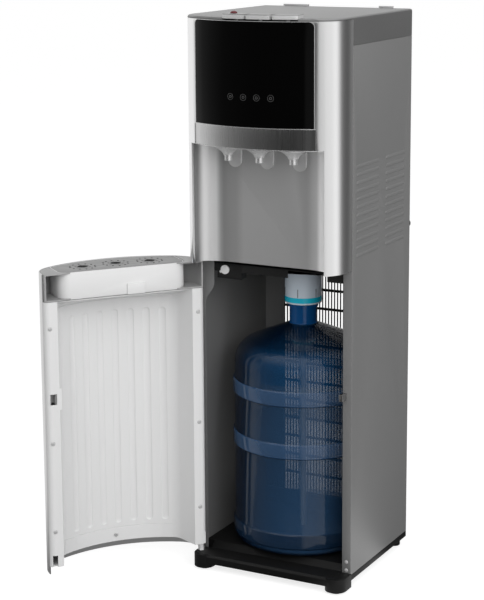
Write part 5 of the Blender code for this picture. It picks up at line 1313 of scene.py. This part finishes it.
SLITS = 6
SLIT_HEIGHT = 0.017
SLIT_MIDDLE = CAP_LOW + RING_TALL + SLIT_HEIGHT / 2
SLIT_TURN = -21.0
SLIT_HALF = 0.0008
SLIT_SINK = 0.0003
slit_place = Matrix.Translation(Vector(BOTTLE_PLACE) + Vector((0.0, 0.0, SLIT_MIDDLE)))
slit_place = slit_place @ Matrix.Rotation(math.radians(SLIT_TURN), 4, "Z")
sizes = {"Length": SLIT_HEIGHT, "Width": SLIT_HALF, "Count": SLITS, "Radius": CAP_RADIUS - SLIT_SINK}
# Painted shade: each slit is a thin black bar on the cap, standing for the dark inside of the slit.
grow("cap_slit_shadows", slits, sizes, shadow_black, "bottle", None, slit_place)

# %% [markdown]
# ## The condenser
# One tube goes to and fro behind the bay, with thin wires across it on both sides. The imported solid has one
# slotted sheet for the wires, and here each is round.

# %% Condenser wires and tube
WIRE_LOW = 0.070
WIRE_HIGH = 0.8535
WIRE_HALF = 0.1235
WIRE_PITCH = 0.0065
WIRE_RADIUS = 0.0014
TUBE_Y = 0.1377
TUBE_RADIUS = 0.0028
RUN_LOW = 0.108
RUN_PITCH = 0.0385
RUNS = 20
RUN_HALF = 0.112
FRONT_WIRES_HIGH = 0.57
BEND_STEPS = 10


def wires(net, size, points):
    count = size["Count"]
    line = net.node("GeometryNodeMeshLine", {"mode": "OFFSET"},
                    {"Count": count, "Offset": net.vector(size["Pitch"], 0.0, 0.0)})
    path = net.node("GeometryNodeCurvePrimitiveLine", {"mode": "POINTS"},
                    {"Start": net.vector(0.0, 0.0, 0.0), "End": net.vector(0.0, 0.0, size["Length"])})
    section = net.circle(LINE_SIDES, size["Radius"])
    wire = net.swept(path, section)
    return net.add("GeometryNodeInstanceOnPoints", {"Points": line, "Instance": wire})


sizes = {"Count": round(2 * WIRE_HALF / WIRE_PITCH) + 1, "Pitch": WIRE_PITCH, "Length": WIRE_HIGH - WIRE_LOW,
         "Radius": WIRE_RADIUS}
rear_wires = grow("condenser_wires_rear", wires, sizes, wire_enamel, "cabinet", None,
                  Matrix.Translation((-WIRE_HALF, TUBE_Y + TUBE_RADIUS + WIRE_RADIUS / 2, WIRE_LOW)))
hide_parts("condenser_wires")
sizes["Length"] = FRONT_WIRES_HIGH - WIRE_LOW
grow("condenser_wires_front", wires, sizes, wire_enamel, "cabinet", None,
     Matrix.Translation((-WIRE_HALF + WIRE_PITCH / 2, TUBE_Y - TUBE_RADIUS - WIRE_RADIUS / 2, WIRE_LOW)))

points = []
bend = RUN_PITCH / 2
for run in range(RUNS):
    z = RUN_LOW + run * RUN_PITCH
    side = 1 if run % 2 == 0 else -1
    points += [(-RUN_HALF * side, TUBE_Y, z), (RUN_HALF * side, TUBE_Y, z)]
    if run < RUNS - 1:
        for k in range(1, BEND_STEPS):
            turn = -math.pi / 2 + math.pi * k / BEND_STEPS
            points.append((side * (RUN_HALF + bend * math.cos(turn)), TUBE_Y,
                           z + bend + bend * math.sin(turn)))
tube = grow("condenser_tube_bent", round_line, {"Radius": TUBE_RADIUS}, enamel, "cabinet", line_mesh(points),
            None)
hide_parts("condenser_tube")
